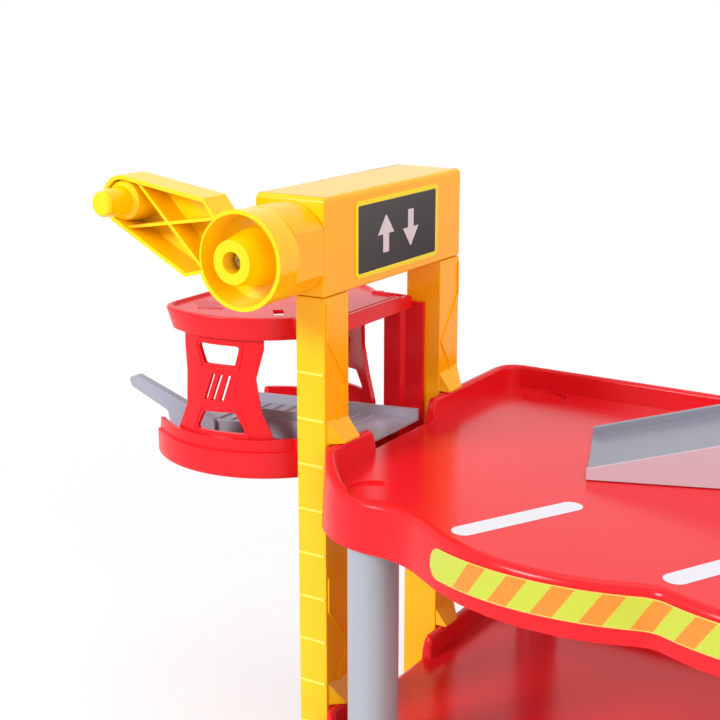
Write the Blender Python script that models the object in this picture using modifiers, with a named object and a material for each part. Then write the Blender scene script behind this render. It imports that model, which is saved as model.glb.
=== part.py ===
"""Toy parking garage with two decks and a lift that a crank winds up its yellow gantry.

Metres, +Z up. The pieces are laid out from the foot of the gantry: X grows from the gantry
towards the parking bays, Y from the fronts of the bays to the back, Z from the ground.
A last step moves the whole model so that the middle of its underside is the origin.
"""

import math

import bmesh
import bpy
from mathutils import Matrix, Vector

# Gap between faces that touch on the real toy
FIT = 0.0003
# Overlap between shapes that are joined into one moulding
LAP = 0.0006
# Points closer than this are one point, and lengths that differ by less are the same
WELD = 0.000001
NEAR = 0.0001

# Storeys
BASE_FLOOR = 0.023
STOREY = 0.127
UPPER_FLOOR = BASE_FLOOR + STOREY

# Deck moulding, the same for both storeys
DECK_LENGTH = 0.340
DECK_BACK = 0.113
DECK_CORNER = 0.013
DECK_WALL = 0.0022
SKIRT_DRAFT = 0.05
EDGE_ROUND = 0.0035
RIM_HEIGHT = 0.011
RIM_WIDTH = 0.005
RIM_ROUND = 0.0018
RIM_END = 0.004
LOBE_X = 0.0380
LOBE_Y = -0.0425
LOBE_RADIUS = 0.0423
LOBE_FALL_START = 208.0
LOBE_FALL_END = 252.0
SHOULDER_RADIUS = 0.010
LOBE_BLEND = 0.045
BAY_WIDTH = 0.087
BAY_RADIUS = 0.0945
BAY_REACH = -0.1135
BAY_BLEND = 0.012
BOSS_WALL = 0.0014
BOSS_DEPTH = 0.012
RECESS_DEPTH = 0.0012
FOOT_RADIUS = 0.008
RIB_THICKNESS = 0.0016
RIB_DEPTH = 0.009

# Columns between the storeys
COLUMN_RADIUS = 0.0112
COLUMN_WALL = 0.0016
FRONT_COLUMN_X = 0.0315
FRONT_COLUMN_Y = -0.071
REAR_COLUMN_X = 0.033
REAR_COLUMN_Y = 0.095

# Gantry posts
POST_DEPTH = 0.0152
POST_WIDTH = 0.0193
POST_INNER = 0.0412
POST_WALL = 0.0022
POST_ROUND = 0.0007
POST_CELLS = 5
RAIL_DEPTH = 0.0035
RAIL_THICKNESS = 0.004
COURSE_PITCH = STOREY / 6
COURSE_TOP = 0.043
COURSE_HEIGHT = 0.0012
COURSE_PROUD = 0.0005
RIDGE_WIDTH = 0.0010
RIDGE_PROUD = 0.0007
RIDGE_COURSE = ((0.0, 0.0745), (0.0, 0.058), (1.0, 0.036), (0.5, 0.024), (0.5, 0.0195))
CLAW_RISE = 0.0095
CLAW_REACH = 0.0061
CLAW_SHOULDER = 0.0059
CLAW_LIP = 0.0008
CLAW_SLOPE = 0.0020
SPIGOT_HEIGHT = 0.018
SPIGOT_WALL = 0.0026

# Gantry beam
BEAM_UNDERSIDE = UPPER_FLOOR + 0.0774
BEAM_HEIGHT = 0.0431
BEAM_DEPTH = 0.036
BEAM_WALL = 0.0025
BEAM_ROUND = 0.0025
BEAM_CORNER = 0.0012
BEAM_LOWER_ROUND = 0.0006
BEAM_RIB_Y = 0.030
COVER_THICKNESS = 0.0022
COVER_ROUND = 0.0005

# Crank
CRANK_HEIGHT = BEAM_UNDERSIDE + 0.0203
CRANK_BACK = -0.082
CRANK_DEPTH = 0.015
CRANK_WALL = 0.0018
CRANK_FLOOR = 0.0022
CUP_RADIUS = 0.0213
CUP_DRAFT = 0.0010
HUB_BACK_RADIUS = 0.0130
HUB_FRONT_RADIUS = 0.0093
HUB_PROUD = 0.0045
HUB_BORE = 0.0046
HUB_BORE_DEPTH = 0.0095
ARM_ANGLE = 17.9
ARM_ROOT = 0.0168
ARM_ROOT_HALF = 0.0132
ARM_SHOULDER = 0.024
ARM_SHOULDER_HALF = 0.018
ARM_KNOB = 0.0652
ARM_END_RADIUS = 0.011
ARM_CROSS = 0.0397
ARM_RIB = 0.0014
ARM_RIB_LENGTH = 0.052
ARM_RIB_SLANT = 27.0
ARM_RIB_SET_BACK = 0.0015
KNOB_BASE_RADIUS = 0.0100
KNOB_TIP_RADIUS = 0.0055
KNOB_PROUD = 0.0133
KNOB_ROUND = 0.0010
KNOB_NECK = 0.0015
BEARING_RADIUS = 0.0206
BEARING_GAP = 0.0004
BEARING_WALL = 0.0020

# Shaft, spool and screw
SHAFT_RADIUS = 0.0040
SHAFT_SOCKET = 0.006
SHAFT_PAST_RIB = 0.003
SPOOL_RADIUS = 0.010
SPOOL_FLANGE = 0.015
SPOOL_FLANGE_THICKNESS = 0.0016
SPOOL_HALF_LENGTH = 0.012
SCREW_RADIUS = 0.0015
SCREW_LENGTH = 0.012
SCREW_HEAD_RADIUS = 0.0036
SCREW_HEAD = 0.0024
SCREW_SLOT_HALF = 0.0004
SCREW_SLOT_REACH = 0.0022
SCREW_SLOT_DEPTH = 0.0010

# Lift cage, heights from the upper floor
CAGE_X = -0.073
CAGE_RADIUS = 0.058
CAGE_STEP = 0.0015
CAGE_WALL = 0.0022
CAGE_BOTTOM = -0.017
CAGE_STEP_Z = -0.0035
CAGE_RIM_Z = 0.0023
CAGE_BACK_RIM_Z = -0.0030
CAGE_SILL_Z = -0.0120
CAGE_FLAT_X = -0.110
CAGE_CORNER = 0.0015
CAGE_GATE_X = -0.009
CAGE_ARC_END = 43.0
CAGE_ROUND = 0.003
CAGE_STEP_HEIGHT = 0.0005
CAGE_RIM_STEP = 0.0010
REST_INNER = 0.006
REST_OUTER = 0.020
REST_SET_IN = 0.018
ROOF_RADIUS = 0.054
ROOF_FLARE = 0.0028
ROOF_CORNER = 0.007
ROOF_BOTTOM = 0.049
ROOF_GATE_BOTTOM = 0.0535
ROOF_TOP = 0.060
ROOF_EDGE = 0.0015
ROOF_LEDGE = 0.0010
ROOF_PLATE = 0.0020
ROOF_RECESS = 0.0012
ROOF_RIM_WIDTH = 0.0025
ROOF_FLAT_X = -0.104
ROOF_GATE_X = -0.013
ROOF_SLOT_X = -0.0487
ROOF_SLOT_Y = -0.0266
ROOF_SLOT_TURN = -50.0
ROOF_SLOT_HALF_LENGTH = 0.0055
ROOF_SLOT_HALF_WIDTH = 0.0025
GUIDE_LEFT_X = -0.0295
GUIDE_RIGHT_X = -0.008
GUIDE_THICKNESS = 0.0022
GUIDE_FOLD = 0.0020
GUIDE_FOLD_X = -0.0200
GUIDE_BOTTOM = -0.013
GUIDE_TOP = 0.056
GUIDE_HOOK = 0.0045
PANEL_THICKNESS = 0.0020
PANEL_GAP = 0.0004
PANEL_STEP = 5.5
PANEL_START = 244.0
PANEL_END = 312.0
PANEL_BACK_TURN = 8.0
PANEL_RIDGE = 0.0007
PANEL_RIDGE_PROUD = 0.0004
WINDOW_ROUND = 0.0015
PANEL_SIDES = (
    (0.0015, 250.0, 307.3),
    (0.0145, 256.0, 301.0),
    (0.0300, 254.5, 298.0),
    (0.0440, 250.5, 302.5),
)
PANEL_UPPER_WINDOW = ((267.8, 0.0358), (286.4, 0.0358), (289.0, 0.0452), (262.0, 0.0452))
PANEL_LOWER_WINDOW = ((264.0, 0.0042), (293.2, 0.0042), (287.0, 0.0140), (268.6, 0.0132))
SLOT_HALF = 0.0009
SLOT_LOW = 0.0188
SLOT_HIGH = 0.0312
PANEL_SLOTS = ((269.4, 273.8), (273.9, 278.5), (279.2, 283.3))

# Tilting tray and its pivot
TRAY_HALF_WIDTH = 0.0265
TRAY_LEFT_X = -0.115
TRAY_RIGHT_X = -0.0028
TRAY_WALL = 0.0018
TRAY_FLOOR = 0.0016
TRAY_WALL_HEIGHT = 0.0045
TRAY_LEVEL_X = -0.086
TRAY_SLOPE = 3.9
TRAY_RIBS = 10
TRAY_RIB_START_X = -0.099
TRAY_RIB_PITCH = 0.0080
TRAY_RIB = 0.0008
TRAY_RIB_WIDTH = 0.0022
TRAY_RIB_MARGIN = 0.003
CHEEK_LEFT_X = -0.068
CHEEK_RIGHT_X = -0.024
CHEEK_HEIGHT = 0.0125
CHEEK_LEDGE = 0.0085
CHEEK_PROUD = 0.0020
LEVER_THICKNESS = 0.0042
LEVER_END_X = -0.0870
LEVER_ROUND = 0.002
LEVER_TIP = (
    (-0.1365, 0.0158, 0.002),
    (-0.1415, 0.0142, 0.002),
    (-0.1400, 0.0098, 0.002),
    (-0.1230, 0.0030, 0.003),
    (-0.1165, 0.0004, 0.002),
)
PIVOT_X = -0.014
PIVOT_Z = -0.005
PIN_RADIUS = 0.0015
LUG_RADIUS = 0.0027
LUG_THICKNESS = 0.0026
TRAY_LUG_Y = 0.0185

# Ramps and the raised pad, heights from the floor that carries them
RAMP_X = 0.1033
RAMP_Y = -0.0124
RAMP_WIDTH = 0.062
RAMP_LENGTH = 0.123
RAMP_TURN = 20.7
RAMP_LIP = 0.0008
RAMP_WALL = 0.0025
RAMP_CURB = 0.0045
RAMP_PLATE = 0.0020
PAD_HEIGHT = 0.032
PAD_FRONT = 0.030
PAD_MARGIN = 0.001
PAD_SKIRT = 0.008
PAD_CORNER = 0.008
PAD_RIM = 0.005
PAD_EDGE = 0.0005
PAD_COLUMN_Y = 0.050
ENTRY_LENGTH = 0.077
ENTRY_CURB = 0.0045
RAMP_SOLID_SHARE = 0.2

# Largest part of an edge that the rounding of one of its corners takes up
EDGE_SHARE = 0.49
# Faces that meet at more than this many degrees keep a sharp edge
SHARP_ANGLE = 32.0

YELLOW = (0.93, 0.58, 0.02)
RED = (0.80, 0.035, 0.05)
GREY = (0.36, 0.38, 0.44)
COLUMN_GREY = (0.42, 0.46, 0.50)
STEEL = (0.55, 0.56, 0.58)

GATE_HALF = TRAY_HALF_WIDTH + FIT
POST_OUTER = POST_INNER + POST_WIDTH
DECK_LEFT = FIT
RECESS_RADIUS = COLUMN_RADIUS + FIT
DECK_COLUMNS = (
    (FRONT_COLUMN_X, FRONT_COLUMN_Y),
    (REAR_COLUMN_X, REAR_COLUMN_Y),
    (DECK_LENGTH - FRONT_COLUMN_X, FRONT_COLUMN_Y),
    (DECK_LENGTH - REAR_COLUMN_X, REAR_COLUMN_Y),
)
PAD_COLUMNS = (
    (DECK_LENGTH - REAR_COLUMN_X, REAR_COLUMN_Y),
    (DECK_LENGTH - REAR_COLUMN_X, PAD_COLUMN_Y),
)
CRANK_X = -BEAM_DEPTH / 2
PANEL_BASE_RADIUS = CAGE_RADIUS - CAGE_STEP - CAGE_WALL - PANEL_GAP - PANEL_THICKNESS / 2
PANEL_TOP_RADIUS = ROOF_RADIUS - ROOF_FLARE - CAGE_WALL - PANEL_GAP - PANEL_THICKNESS / 2


# Scene, collections and materials


def clear_scene():
    for old in list(bpy.data.objects):
        bpy.data.objects.remove(old, do_unlink=True)


def new_collection(name):
    made = bpy.data.collections.new(name)
    bpy.context.scene.collection.children.link(made)
    return made


def plastic(name, colour, roughness=0.35, metallic=0.0):
    made = bpy.data.materials.new(name)
    made.use_nodes = True
    shader = made.node_tree.nodes["Principled BSDF"]
    shader.inputs["Base Color"].default_value = (*colour, 1.0)
    shader.inputs["Roughness"].default_value = roughness
    shader.inputs["Metallic"].default_value = metallic
    return made


# Shapes


def mesh_object(name, mesh):
    made = bpy.data.objects.new(name, mesh)
    bpy.context.scene.collection.objects.link(made)
    return made


def object_from(name, shape):
    """Turns a finished bmesh into an object whose faces point outwards."""
    bmesh.ops.recalc_face_normals(shape, faces=shape.faces)
    mesh = bpy.data.meshes.new(name)
    shape.to_mesh(mesh)
    shape.free()
    return mesh_object(name, mesh)


def box(name, low, high, rounding=0.0, segments=2):
    """A box between two corners, its edges rounded with a bevel."""
    middle = (Vector(low) + Vector(high)) / 2
    size = Vector(high) - Vector(low)
    shape = bmesh.new()
    bmesh.ops.create_cube(shape, size=1.0, matrix=Matrix.Translation(middle) @ Matrix.Diagonal((*size, 1.0)))
    if rounding:
        bmesh.ops.bevel(
            shape, geom=list(shape.edges), offset=rounding, segments=segments, profile=0.5, affect="EDGES"
        )
    return object_from(name, shape)


def rod(name, radius, start, end, end_radius=None, segments=32):
    """A cylinder or a cone between two points."""
    start = Vector(start)
    along = Vector(end) - start
    shape = bmesh.new()
    bmesh.ops.create_cone(
        shape,
        cap_ends=True,
        segments=segments,
        radius1=radius,
        radius2=radius if end_radius is None else end_radius,
        depth=along.length,
        matrix=Matrix.Translation(start + along / 2) @ along.to_track_quat("Z", "Y").to_matrix().to_4x4(),
    )
    return object_from(name, shape)


def hull(name, points):
    """The convex solid round a few corner points."""
    shape = bmesh.new()
    for point in points:
        shape.verts.new(point)
    made = bmesh.ops.convex_hull(shape, input=shape.verts)
    bmesh.ops.delete(shape, geom=made["geom_interior"], context="VERTS")
    return object_from(name, shape)


def turned(name, profile, segments=48):
    """A profile of (radius, height) points turned round the Z axis.

    The profile is closed on the axis or on itself.
    """
    mesh = bpy.data.meshes.new(name)
    on_axis = profile[0][0] == 0.0
    edges = [(k, k + 1) for k in range(len(profile) - 1)]
    if not on_axis:
        edges.append((len(profile) - 1, 0))
    mesh.from_pydata([(radius, 0.0, height) for radius, height in profile], edges, [])
    made = mesh_object(name, mesh)
    screw = made.modifiers.new("turn", "SCREW")
    screw.steps = segments
    screw.render_steps = segments
    screw.use_merge_vertices = True
    screw.merge_threshold = WELD
    return settled(made)


def settled(made):
    """Applies an object's modifiers, or turns a curve into a mesh, and welds the result."""
    graph = bpy.context.evaluated_depsgraph_get()
    mesh = bpy.data.meshes.new_from_object(made.evaluated_get(graph))
    shape = bmesh.new()
    shape.from_mesh(mesh)
    bmesh.ops.remove_doubles(shape, verts=shape.verts, dist=WELD)
    name = made.name
    old = made.data
    bpy.data.objects.remove(made, do_unlink=True)
    if isinstance(old, bpy.types.Curve):
        bpy.data.curves.remove(old)
    else:
        bpy.data.meshes.remove(old)
    return object_from(name, shape)


def moved(made, matrix):
    """Moves or turns the mesh itself, so that the object stays at its origin."""
    made.data.transform(matrix)
    if matrix.determinant() < 0:
        made.data.flip_normals()
    return made


def plate(name, outline, thickness, holes=()):
    """A flat outline in X and Y, with any holes, extruded from Z = 0 up to its thickness."""
    curve = bpy.data.curves.new(name, "CURVE")
    curve.dimensions = "2D"
    curve.fill_mode = "BOTH"
    curve.extrude = thickness / 2
    for points in (outline, *holes):
        spline = curve.splines.new("POLY")
        spline.points.add(len(points) - 1)
        for point, (x, y) in zip(spline.points, points):
            point.co = (x, y, 0.0, 1.0)
        spline.use_cyclic_u = True
    made = mesh_object(name, curve)
    return moved(settled(made), Matrix.Translation((0.0, 0.0, thickness / 2)))


def boolean(target, tool, operation):
    bpy.context.view_layer.update()
    change = target.modifiers.new(operation.lower(), "BOOLEAN")
    change.operation = operation
    change.solver = "EXACT"
    change.object = tool
    graph = bpy.context.evaluated_depsgraph_get()
    mesh = bpy.data.meshes.new_from_object(target.evaluated_get(graph))
    target.modifiers.clear()
    old = target.data
    target.data = mesh
    bpy.data.meshes.remove(old)


def join(target, *tools):
    """Fuses other shapes into a piece of the same moulding."""
    for tool in tools:
        boolean(target, tool, "UNION")
        bpy.data.objects.remove(tool, do_unlink=True)
    return target


def cut(target, *tools):
    """Cuts shapes out of a piece and keeps them as hidden cutters."""
    for tool in tools:
        boolean(target, tool, "DIFFERENCE")
        keep_cutter(tool)
    return target


def clip(target, tool):
    """Keeps only what lies inside another shape."""
    boolean(target, tool, "INTERSECT")
    keep_cutter(tool)
    return target


def keep_cutter(tool):
    for holder in list(tool.users_collection):
        holder.objects.unlink(tool)
    bpy.data.collections["cutters"].objects.link(tool)
    tool.name = f"cutter_{tool.name}"
    tool.hide_render = True
    tool.hide_viewport = True
    tool.display_type = "WIRE"


# Outlines


def arc(x, y, radius, start, end, steps):
    """Points on a circle from one angle to another, in degrees, both ends included."""
    angles = [math.radians(start + (end - start) * k / steps) for k in range(steps + 1)]
    return [(x + radius * math.cos(a), y + radius * math.sin(a)) for a in angles]


def rounded(corners, radius, steps=3):
    """A closed outline through corners, each one rounded to a radius, or to its own third value."""
    points = []
    for k, corner in enumerate(corners):
        here = Vector(corner[:2])
        before = Vector(corners[k - 1][:2]) - here
        after = Vector(corners[(k + 1) % len(corners)][:2]) - here
        size = corner[2] if len(corner) > 2 else radius
        if not size:
            points.append(tuple(here))
            continue
        half = before.angle(after) / 2
        reach = min(size / math.tan(half), EDGE_SHARE * before.length, EDGE_SHARE * after.length)
        first = here + before.normalized() * reach
        last = here + after.normalized() * reach
        for step in range(steps + 1):
            t = step / steps
            points.append(tuple(first * (1 - t) ** 2 + here * 2 * t * (1 - t) + last * t ** 2))
    return points


def touching_circle(first, first_radius, second, second_radius, radius):
    """Centre of the circle that blends two others from the front, where Y is least."""
    apart = second - first
    near = first_radius + radius
    far = second_radius + radius
    along = (near ** 2 - far ** 2 + apart.length ** 2) / (2 * apart.length)
    across = math.sqrt(near ** 2 - along ** 2)
    unit = apart.normalized()
    return first + unit * along + Vector((unit.y, -unit.x)) * across


def bearing(origin, towards):
    """The direction from one point to another, in degrees from 0 to 360."""
    return math.degrees(math.atan2(towards.y - origin.y, towards.x - origin.x)) % 360


def miters(points):
    """For each corner of an outline, the step that moves it out by one unit of offset."""
    steps = []
    for k, point in enumerate(points):
        here = Vector(point)
        before = (here - Vector(points[k - 1])).normalized()
        after = (Vector(points[(k + 1) % len(points)]) - here).normalized()
        first = Vector((before.y, -before.x))
        second = Vector((after.y, -after.x))
        steps.append((first + second) / (1 + first.dot(second)))
    return steps


def loft(name, rings):
    """A closed solid through rings of as many points each, with its first and last ring filled."""
    shape = bmesh.new()
    loops = [[shape.verts.new(point) for point in ring] for ring in rings]
    for lower, upper in zip(loops, loops[1:]):
        for k in range(len(lower)):
            after = (k + 1) % len(lower)
            shape.faces.new((lower[k], lower[after], upper[after], upper[k]))
    shape.faces.new(list(reversed(loops[0])))
    shape.faces.new(loops[-1])
    return object_from(name, shape)


def moulded_shell(name, outline, profiles, low_x=None, high_x=None):
    """A shell whose section at each corner of the outline is a list of (offset, height) points."""
    steps = miters(outline)
    rings = []
    for level in range(len(profiles[0])):
        ring = []
        for point, step, profile in zip(outline, steps, profiles):
            offset, height = profile[level]
            x = point[0] + step.x * offset
            if low_x is not None:
                x = min(max(x, low_x), high_x)
            ring.append((x, point[1] + step.y * offset, height))
        rings.append(ring)
    return loft(name, rings)


# Decks


def half_deck_outline():
    """The left half of the deck's outline, from the middle of the back to the middle of the front.

    Each point carries the share of the full rim height that stands over it.
    """
    lobe = Vector((LOBE_X, LOBE_Y))
    shoulder_x = DECK_LEFT + SHOULDER_RADIUS
    inside = LOBE_RADIUS - SHOULDER_RADIUS
    shoulder = Vector((shoulder_x, LOBE_Y - math.sqrt(inside ** 2 - (LOBE_X - shoulder_x) ** 2)))
    middle = DECK_LENGTH / 2
    bay = Vector((middle - BAY_WIDTH / 2, BAY_REACH + BAY_RADIUS))
    next_bay = Vector((middle + BAY_WIDTH / 2, bay.y))
    blend = touching_circle(lobe, LOBE_RADIUS, bay, BAY_RADIUS, LOBE_BLEND)
    valley = touching_circle(bay, BAY_RADIUS, next_bay, BAY_RADIUS, BAY_BLEND)
    leave = bearing(lobe, shoulder)
    points = [(middle, DECK_BACK, 1.0)]
    corner_x = DECK_LEFT + DECK_CORNER
    for x, y in arc(corner_x, DECK_BACK - DECK_CORNER, DECK_CORNER, 90, 180, 4):
        points.append((x, y, 1.0))
    gate = []
    for set_back, share in arc(0.0, 0.0, 1.0, 90, 0, 3):
        gate.append((GATE_HALF + RIM_END * (1.0 - set_back), share))
    for y, share in gate:
        points.append((DECK_LEFT, y, share))
    for y, share in reversed(gate):
        points.append((DECK_LEFT, -y, share))
    for x, y in arc(shoulder.x, shoulder.y, SHOULDER_RADIUS, 180, leave, 2):
        points.append((x, y, 1.0))
    lobe_end = bearing(lobe, blend)
    steps = 11
    for k, (x, y) in list(enumerate(arc(lobe.x, lobe.y, LOBE_RADIUS, leave, lobe_end, steps)))[1:]:
        angle = leave + (lobe_end - leave) * k / steps
        fall = min(max((angle - LOBE_FALL_START) / (LOBE_FALL_END - LOBE_FALL_START), 0.0), 1.0)
        points.append((x, y, 1.0 - fall * fall * (3 - 2 * fall)))
    for x, y in arc(blend.x, blend.y, LOBE_BLEND, bearing(blend, lobe), bearing(blend, bay), 5)[1:]:
        points.append((x, y, 0.0))
    for x, y in arc(bay.x, bay.y, BAY_RADIUS, bearing(bay, blend), bearing(bay, valley), 7)[1:]:
        points.append((x, y, 0.0))
    for x, y in arc(valley.x, valley.y, BAY_BLEND, bearing(valley, bay), 90, 2)[1:]:
        points.append((x, y, 0.0))
    return points


def deck_profile(share, foot):
    """The section of the deck's edge, from under the floor round the skirt and over the rim."""
    height = share * RIM_HEIGHT
    outer_round = EDGE_ROUND + (RIM_ROUND - EDGE_ROUND) * share
    inner_round = min(height, RIM_ROUND)
    lean = -SKIRT_DRAFT * height
    profile = arc(-DECK_WALL - EDGE_ROUND, -DECK_WALL - EDGE_ROUND, EDGE_ROUND, 90, 0, 2)
    profile += [(-SKIRT_DRAFT * foot - DECK_WALL, foot), (-SKIRT_DRAFT * foot, foot)]
    profile += arc(lean - outer_round, height - outer_round, outer_round, 0, 90, 2)
    profile += arc(-RIM_WIDTH + inner_round, height - inner_round, inner_round, 90, 180, 2)
    profile.append((-RIM_WIDTH - FIT, 0.0))
    return profile


def deck(name, right_gate, feet):
    """One storey: floor, skirt, rim, column recesses and the sockets under them. Its floor is at Z = 0."""
    left = half_deck_outline()
    right = []
    for x, y, share in reversed(left[1:-1]):
        if abs(y) < GATE_HALF + RIM_END and x < RIM_WIDTH and not right_gate:
            share = 1.0
        right.append((DECK_LENGTH - x, y, share))
    points = left + right
    outline = [(x, y) for x, y, _ in points]
    profiles = [deck_profile(share, -BASE_FLOOR) for _, _, share in points]
    made = moulded_shell(name, outline, profiles, DECK_LEFT, DECK_LENGTH - DECK_LEFT)
    low = -DECK_WALL + LAP
    for x, y in DECK_COLUMNS:
        ring = turned(
            "socket",
            (
                (RECESS_RADIUS + BOSS_WALL, low),
                (RECESS_RADIUS + BOSS_WALL, -BOSS_DEPTH),
                (RECESS_RADIUS, -BOSS_DEPTH),
                (RECESS_RADIUS, low),
            ),
            32,
        )
        join(made, moved(ring, Matrix.Translation((x, y, 0.0))))
        cut(made, rod("socket_bore", RECESS_RADIUS, (x, y, -BASE_FLOOR), (x, y, -DECK_WALL + NEAR)))
        if feet:
            join(made, rod("foot", FOOT_RADIUS, (x, y, -BASE_FLOOR), (x, y, low), segments=24))
    reach = RECESS_RADIUS + BOSS_WALL - LAP
    for (x, y), (rear_x, _) in (DECK_COLUMNS[:2], DECK_COLUMNS[2:]):
        rib_x = (x + rear_x) / 2
        join(
            made,
            box(
                "side_rib",
                (rib_x - RIB_THICKNESS / 2, y + reach, -RIB_DEPTH),
                (rib_x + RIB_THICKNESS / 2, REAR_COLUMN_Y - reach, low),
            ),
        )
    for x, y in DECK_COLUMNS[:2]:
        join(
            made,
            box(
                "cross_rib",
                (x + reach, y - RIB_THICKNESS / 2, -RIB_DEPTH),
                (DECK_LENGTH - x - reach, y + RIB_THICKNESS / 2, low),
            ),
        )
    for x, y in set(DECK_COLUMNS + PAD_COLUMNS):
        recess = rod("recess", RECESS_RADIUS, (x, y, -RECESS_DEPTH), (x, y, RECESS_DEPTH), segments=32)
        cut(made, recess)
    return made


def column(name, length):
    """A round grey pillar, open below, that stands in a recess."""
    return turned(
        name,
        (
            (0.0, length),
            (COLUMN_RADIUS, length),
            (COLUMN_RADIUS, 0.0),
            (COLUMN_RADIUS - COLUMN_WALL, 0.0),
            (COLUMN_RADIUS - COLUMN_WALL, length - COLUMN_WALL),
            (0.0, length - COLUMN_WALL),
        ),
        24,
    )


# Gantry


def front_post():
    """The post on the front side of the gate, with its courses, ridges, claws, guide rail and spigot."""
    top = BEAM_UNDERSIDE - FIT
    made = box("front_post", (-POST_DEPTH, -POST_OUTER, 0.0), (0.0, -POST_INNER, top), POST_ROUND)
    join(
        made,
        box(
            "rail",
            (-POST_DEPTH - RAIL_DEPTH, -POST_INNER - RAIL_THICKNESS, POST_ROUND),
            (-POST_DEPTH + LAP, -POST_INNER, top - POST_ROUND),
        ),
    )
    pocket_low = (-POST_DEPTH - FIT, -POST_OUTER + POST_WALL)
    pocket_high = (-POST_WALL, -POST_INNER - RAIL_THICKNESS)
    pitch = (top - POST_WALL) / POST_CELLS
    for k in range(POST_CELLS):
        cut(
            made,
            box(
                "pocket",
                (*pocket_low, POST_WALL + k * pitch),
                (*pocket_high, (k + 1) * pitch),
            ),
        )
    course = UPPER_FLOOR + COURSE_TOP
    while course > COURSE_PITCH:
        join(
            made,
            box(
                "course",
                (-POST_DEPTH + POST_ROUND, -POST_OUTER - COURSE_PROUD, course - COURSE_HEIGHT / 2),
                (-POST_ROUND, -POST_OUTER + LAP, course + COURSE_HEIGHT / 2),
            ),
        )
        course -= COURSE_PITCH
    for floor in (BASE_FLOOR, UPPER_FLOOR):
        join(made, claw(floor), ridge(floor))
    join(made, spigot(top))
    return made


def claw(floor):
    """The hook on the post that reaches over the deck's rim."""
    low = floor + RIM_HEIGHT + FIT
    high = low + CLAW_RISE
    outer = -POST_OUTER + POST_ROUND
    inner = -POST_INNER - POST_ROUND
    return hull(
        "claw",
        (
            (-LAP, outer, low),
            (-LAP, outer, high + CLAW_SLOPE),
            (CLAW_REACH, outer + CLAW_SHOULDER, low),
            (CLAW_REACH, inner, low),
            (CLAW_REACH, outer + CLAW_SHOULDER, low + CLAW_LIP),
            (CLAW_REACH, inner, low + CLAW_LIP),
            (-LAP, inner, low),
            (-LAP, inner, high),
        ),
    )


def ridge(floor):
    """The thin ridge that zigzags down the post's broad face to the claw."""
    outer = -POST_OUTER + POST_ROUND + RIDGE_WIDTH
    inner = -POST_INNER - POST_ROUND - RIDGE_WIDTH
    course = [(outer + share * (inner - outer), z) for share, z in RIDGE_COURSE]
    left = [(y - RIDGE_WIDTH / 2, z) for y, z in course]
    right = [(y + RIDGE_WIDTH / 2, z) for y, z in reversed(course)]
    made = plate("ridge", left + right, RIDGE_PROUD + LAP)
    upright = Matrix(((0, 0, 1, -LAP), (1, 0, 0, 0), (0, 1, 0, floor), (0, 0, 0, 1)))
    return moved(made, upright)


def spigot_box(name, grow, low, high):
    """The tongue that holds a post in the beam, or with some growth the hole that takes it."""
    return box(
        name,
        (-POST_DEPTH + SPIGOT_WALL - grow, -POST_OUTER + SPIGOT_WALL - grow, low),
        (-SPIGOT_WALL + grow, -POST_INNER - SPIGOT_WALL + grow, high),
    )


def spigot(top):
    return spigot_box("spigot", 0.0, top - POST_WALL, top + SPIGOT_HEIGHT)


def gantry_beam():
    """The yellow housing across the posts, open at its back."""
    low = BEAM_UNDERSIDE
    high = low + BEAM_HEIGHT
    corners = [(-BEAM_DEPTH, -POST_OUTER), (0.0, -POST_OUTER), (0.0, POST_OUTER), (-BEAM_DEPTH, POST_OUTER)]
    outline = rounded(corners, BEAM_CORNER, 3)
    profile = [(-BEAM_LOWER_ROUND, low), (0.0, low + BEAM_LOWER_ROUND)]
    profile += arc(-BEAM_ROUND, high - BEAM_ROUND, BEAM_ROUND, 0, 90, 4)
    made = moulded_shell("gantry_beam", outline, [profile] * len(outline))
    inside = POST_OUTER - BEAM_WALL
    cut(
        made,
        box(
            "beam_cavity",
            (-BEAM_DEPTH - BEAM_WALL, -inside, low + BEAM_WALL),
            (-BEAM_WALL, inside, high - BEAM_WALL),
        ),
    )
    cover_room = BEAM_DEPTH - COVER_THICKNESS - 2 * FIT
    for side in (-1, 1):
        y = side * BEAM_RIB_Y
        join(
            made,
            box(
                "beam_rib",
                (-cover_room, y - BEAM_WALL / 2, low + BEAM_WALL - LAP),
                (-BEAM_WALL + LAP, y + BEAM_WALL / 2, high - BEAM_WALL + LAP),
            ),
        )
        hole = spigot_box("spigot_hole", FIT, low - BEAM_WALL, low + SPIGOT_HEIGHT)
        if side > 0:
            moved(hole, Matrix.Diagonal((1.0, -1.0, 1.0, 1.0)))
        cut(made, hole)
    shaft_hole = rod(
        "shaft_hole",
        SHAFT_RADIUS + FIT,
        (CRANK_X, -inside + BEAM_WALL, CRANK_HEIGHT),
        (CRANK_X, inside - BEAM_WALL, CRANK_HEIGHT),
    )
    sleeve_hole = rod(
        "sleeve_hole",
        SHAFT_RADIUS + FIT + BEARING_WALL + FIT,
        (CRANK_X, -POST_OUTER - BEAM_WALL, CRANK_HEIGHT),
        (CRANK_X, -inside + BEAM_WALL, CRANK_HEIGHT),
    )
    cut(made, shaft_hole, sleeve_hole)
    return made


def beam_cover():
    """The flat cover that closes the beam's back."""
    inside = POST_OUTER - BEAM_WALL - FIT
    return box(
        "beam_cover",
        (-BEAM_DEPTH, -inside, BEAM_UNDERSIDE + BEAM_WALL + FIT),
        (-BEAM_DEPTH + COVER_THICKNESS, inside, BEAM_UNDERSIDE + BEAM_HEIGHT - BEAM_WALL - FIT),
        COVER_ROUND,
        1,
    )


def along_y(made, x, z):
    """Lays a shape turned round Z along Y instead: its +Z end points to the front, at -Y."""
    turn = Matrix.Rotation(math.radians(90), 4, "X")
    return moved(made, Matrix.Translation((x, 0.0, z)) @ turn)


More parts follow.
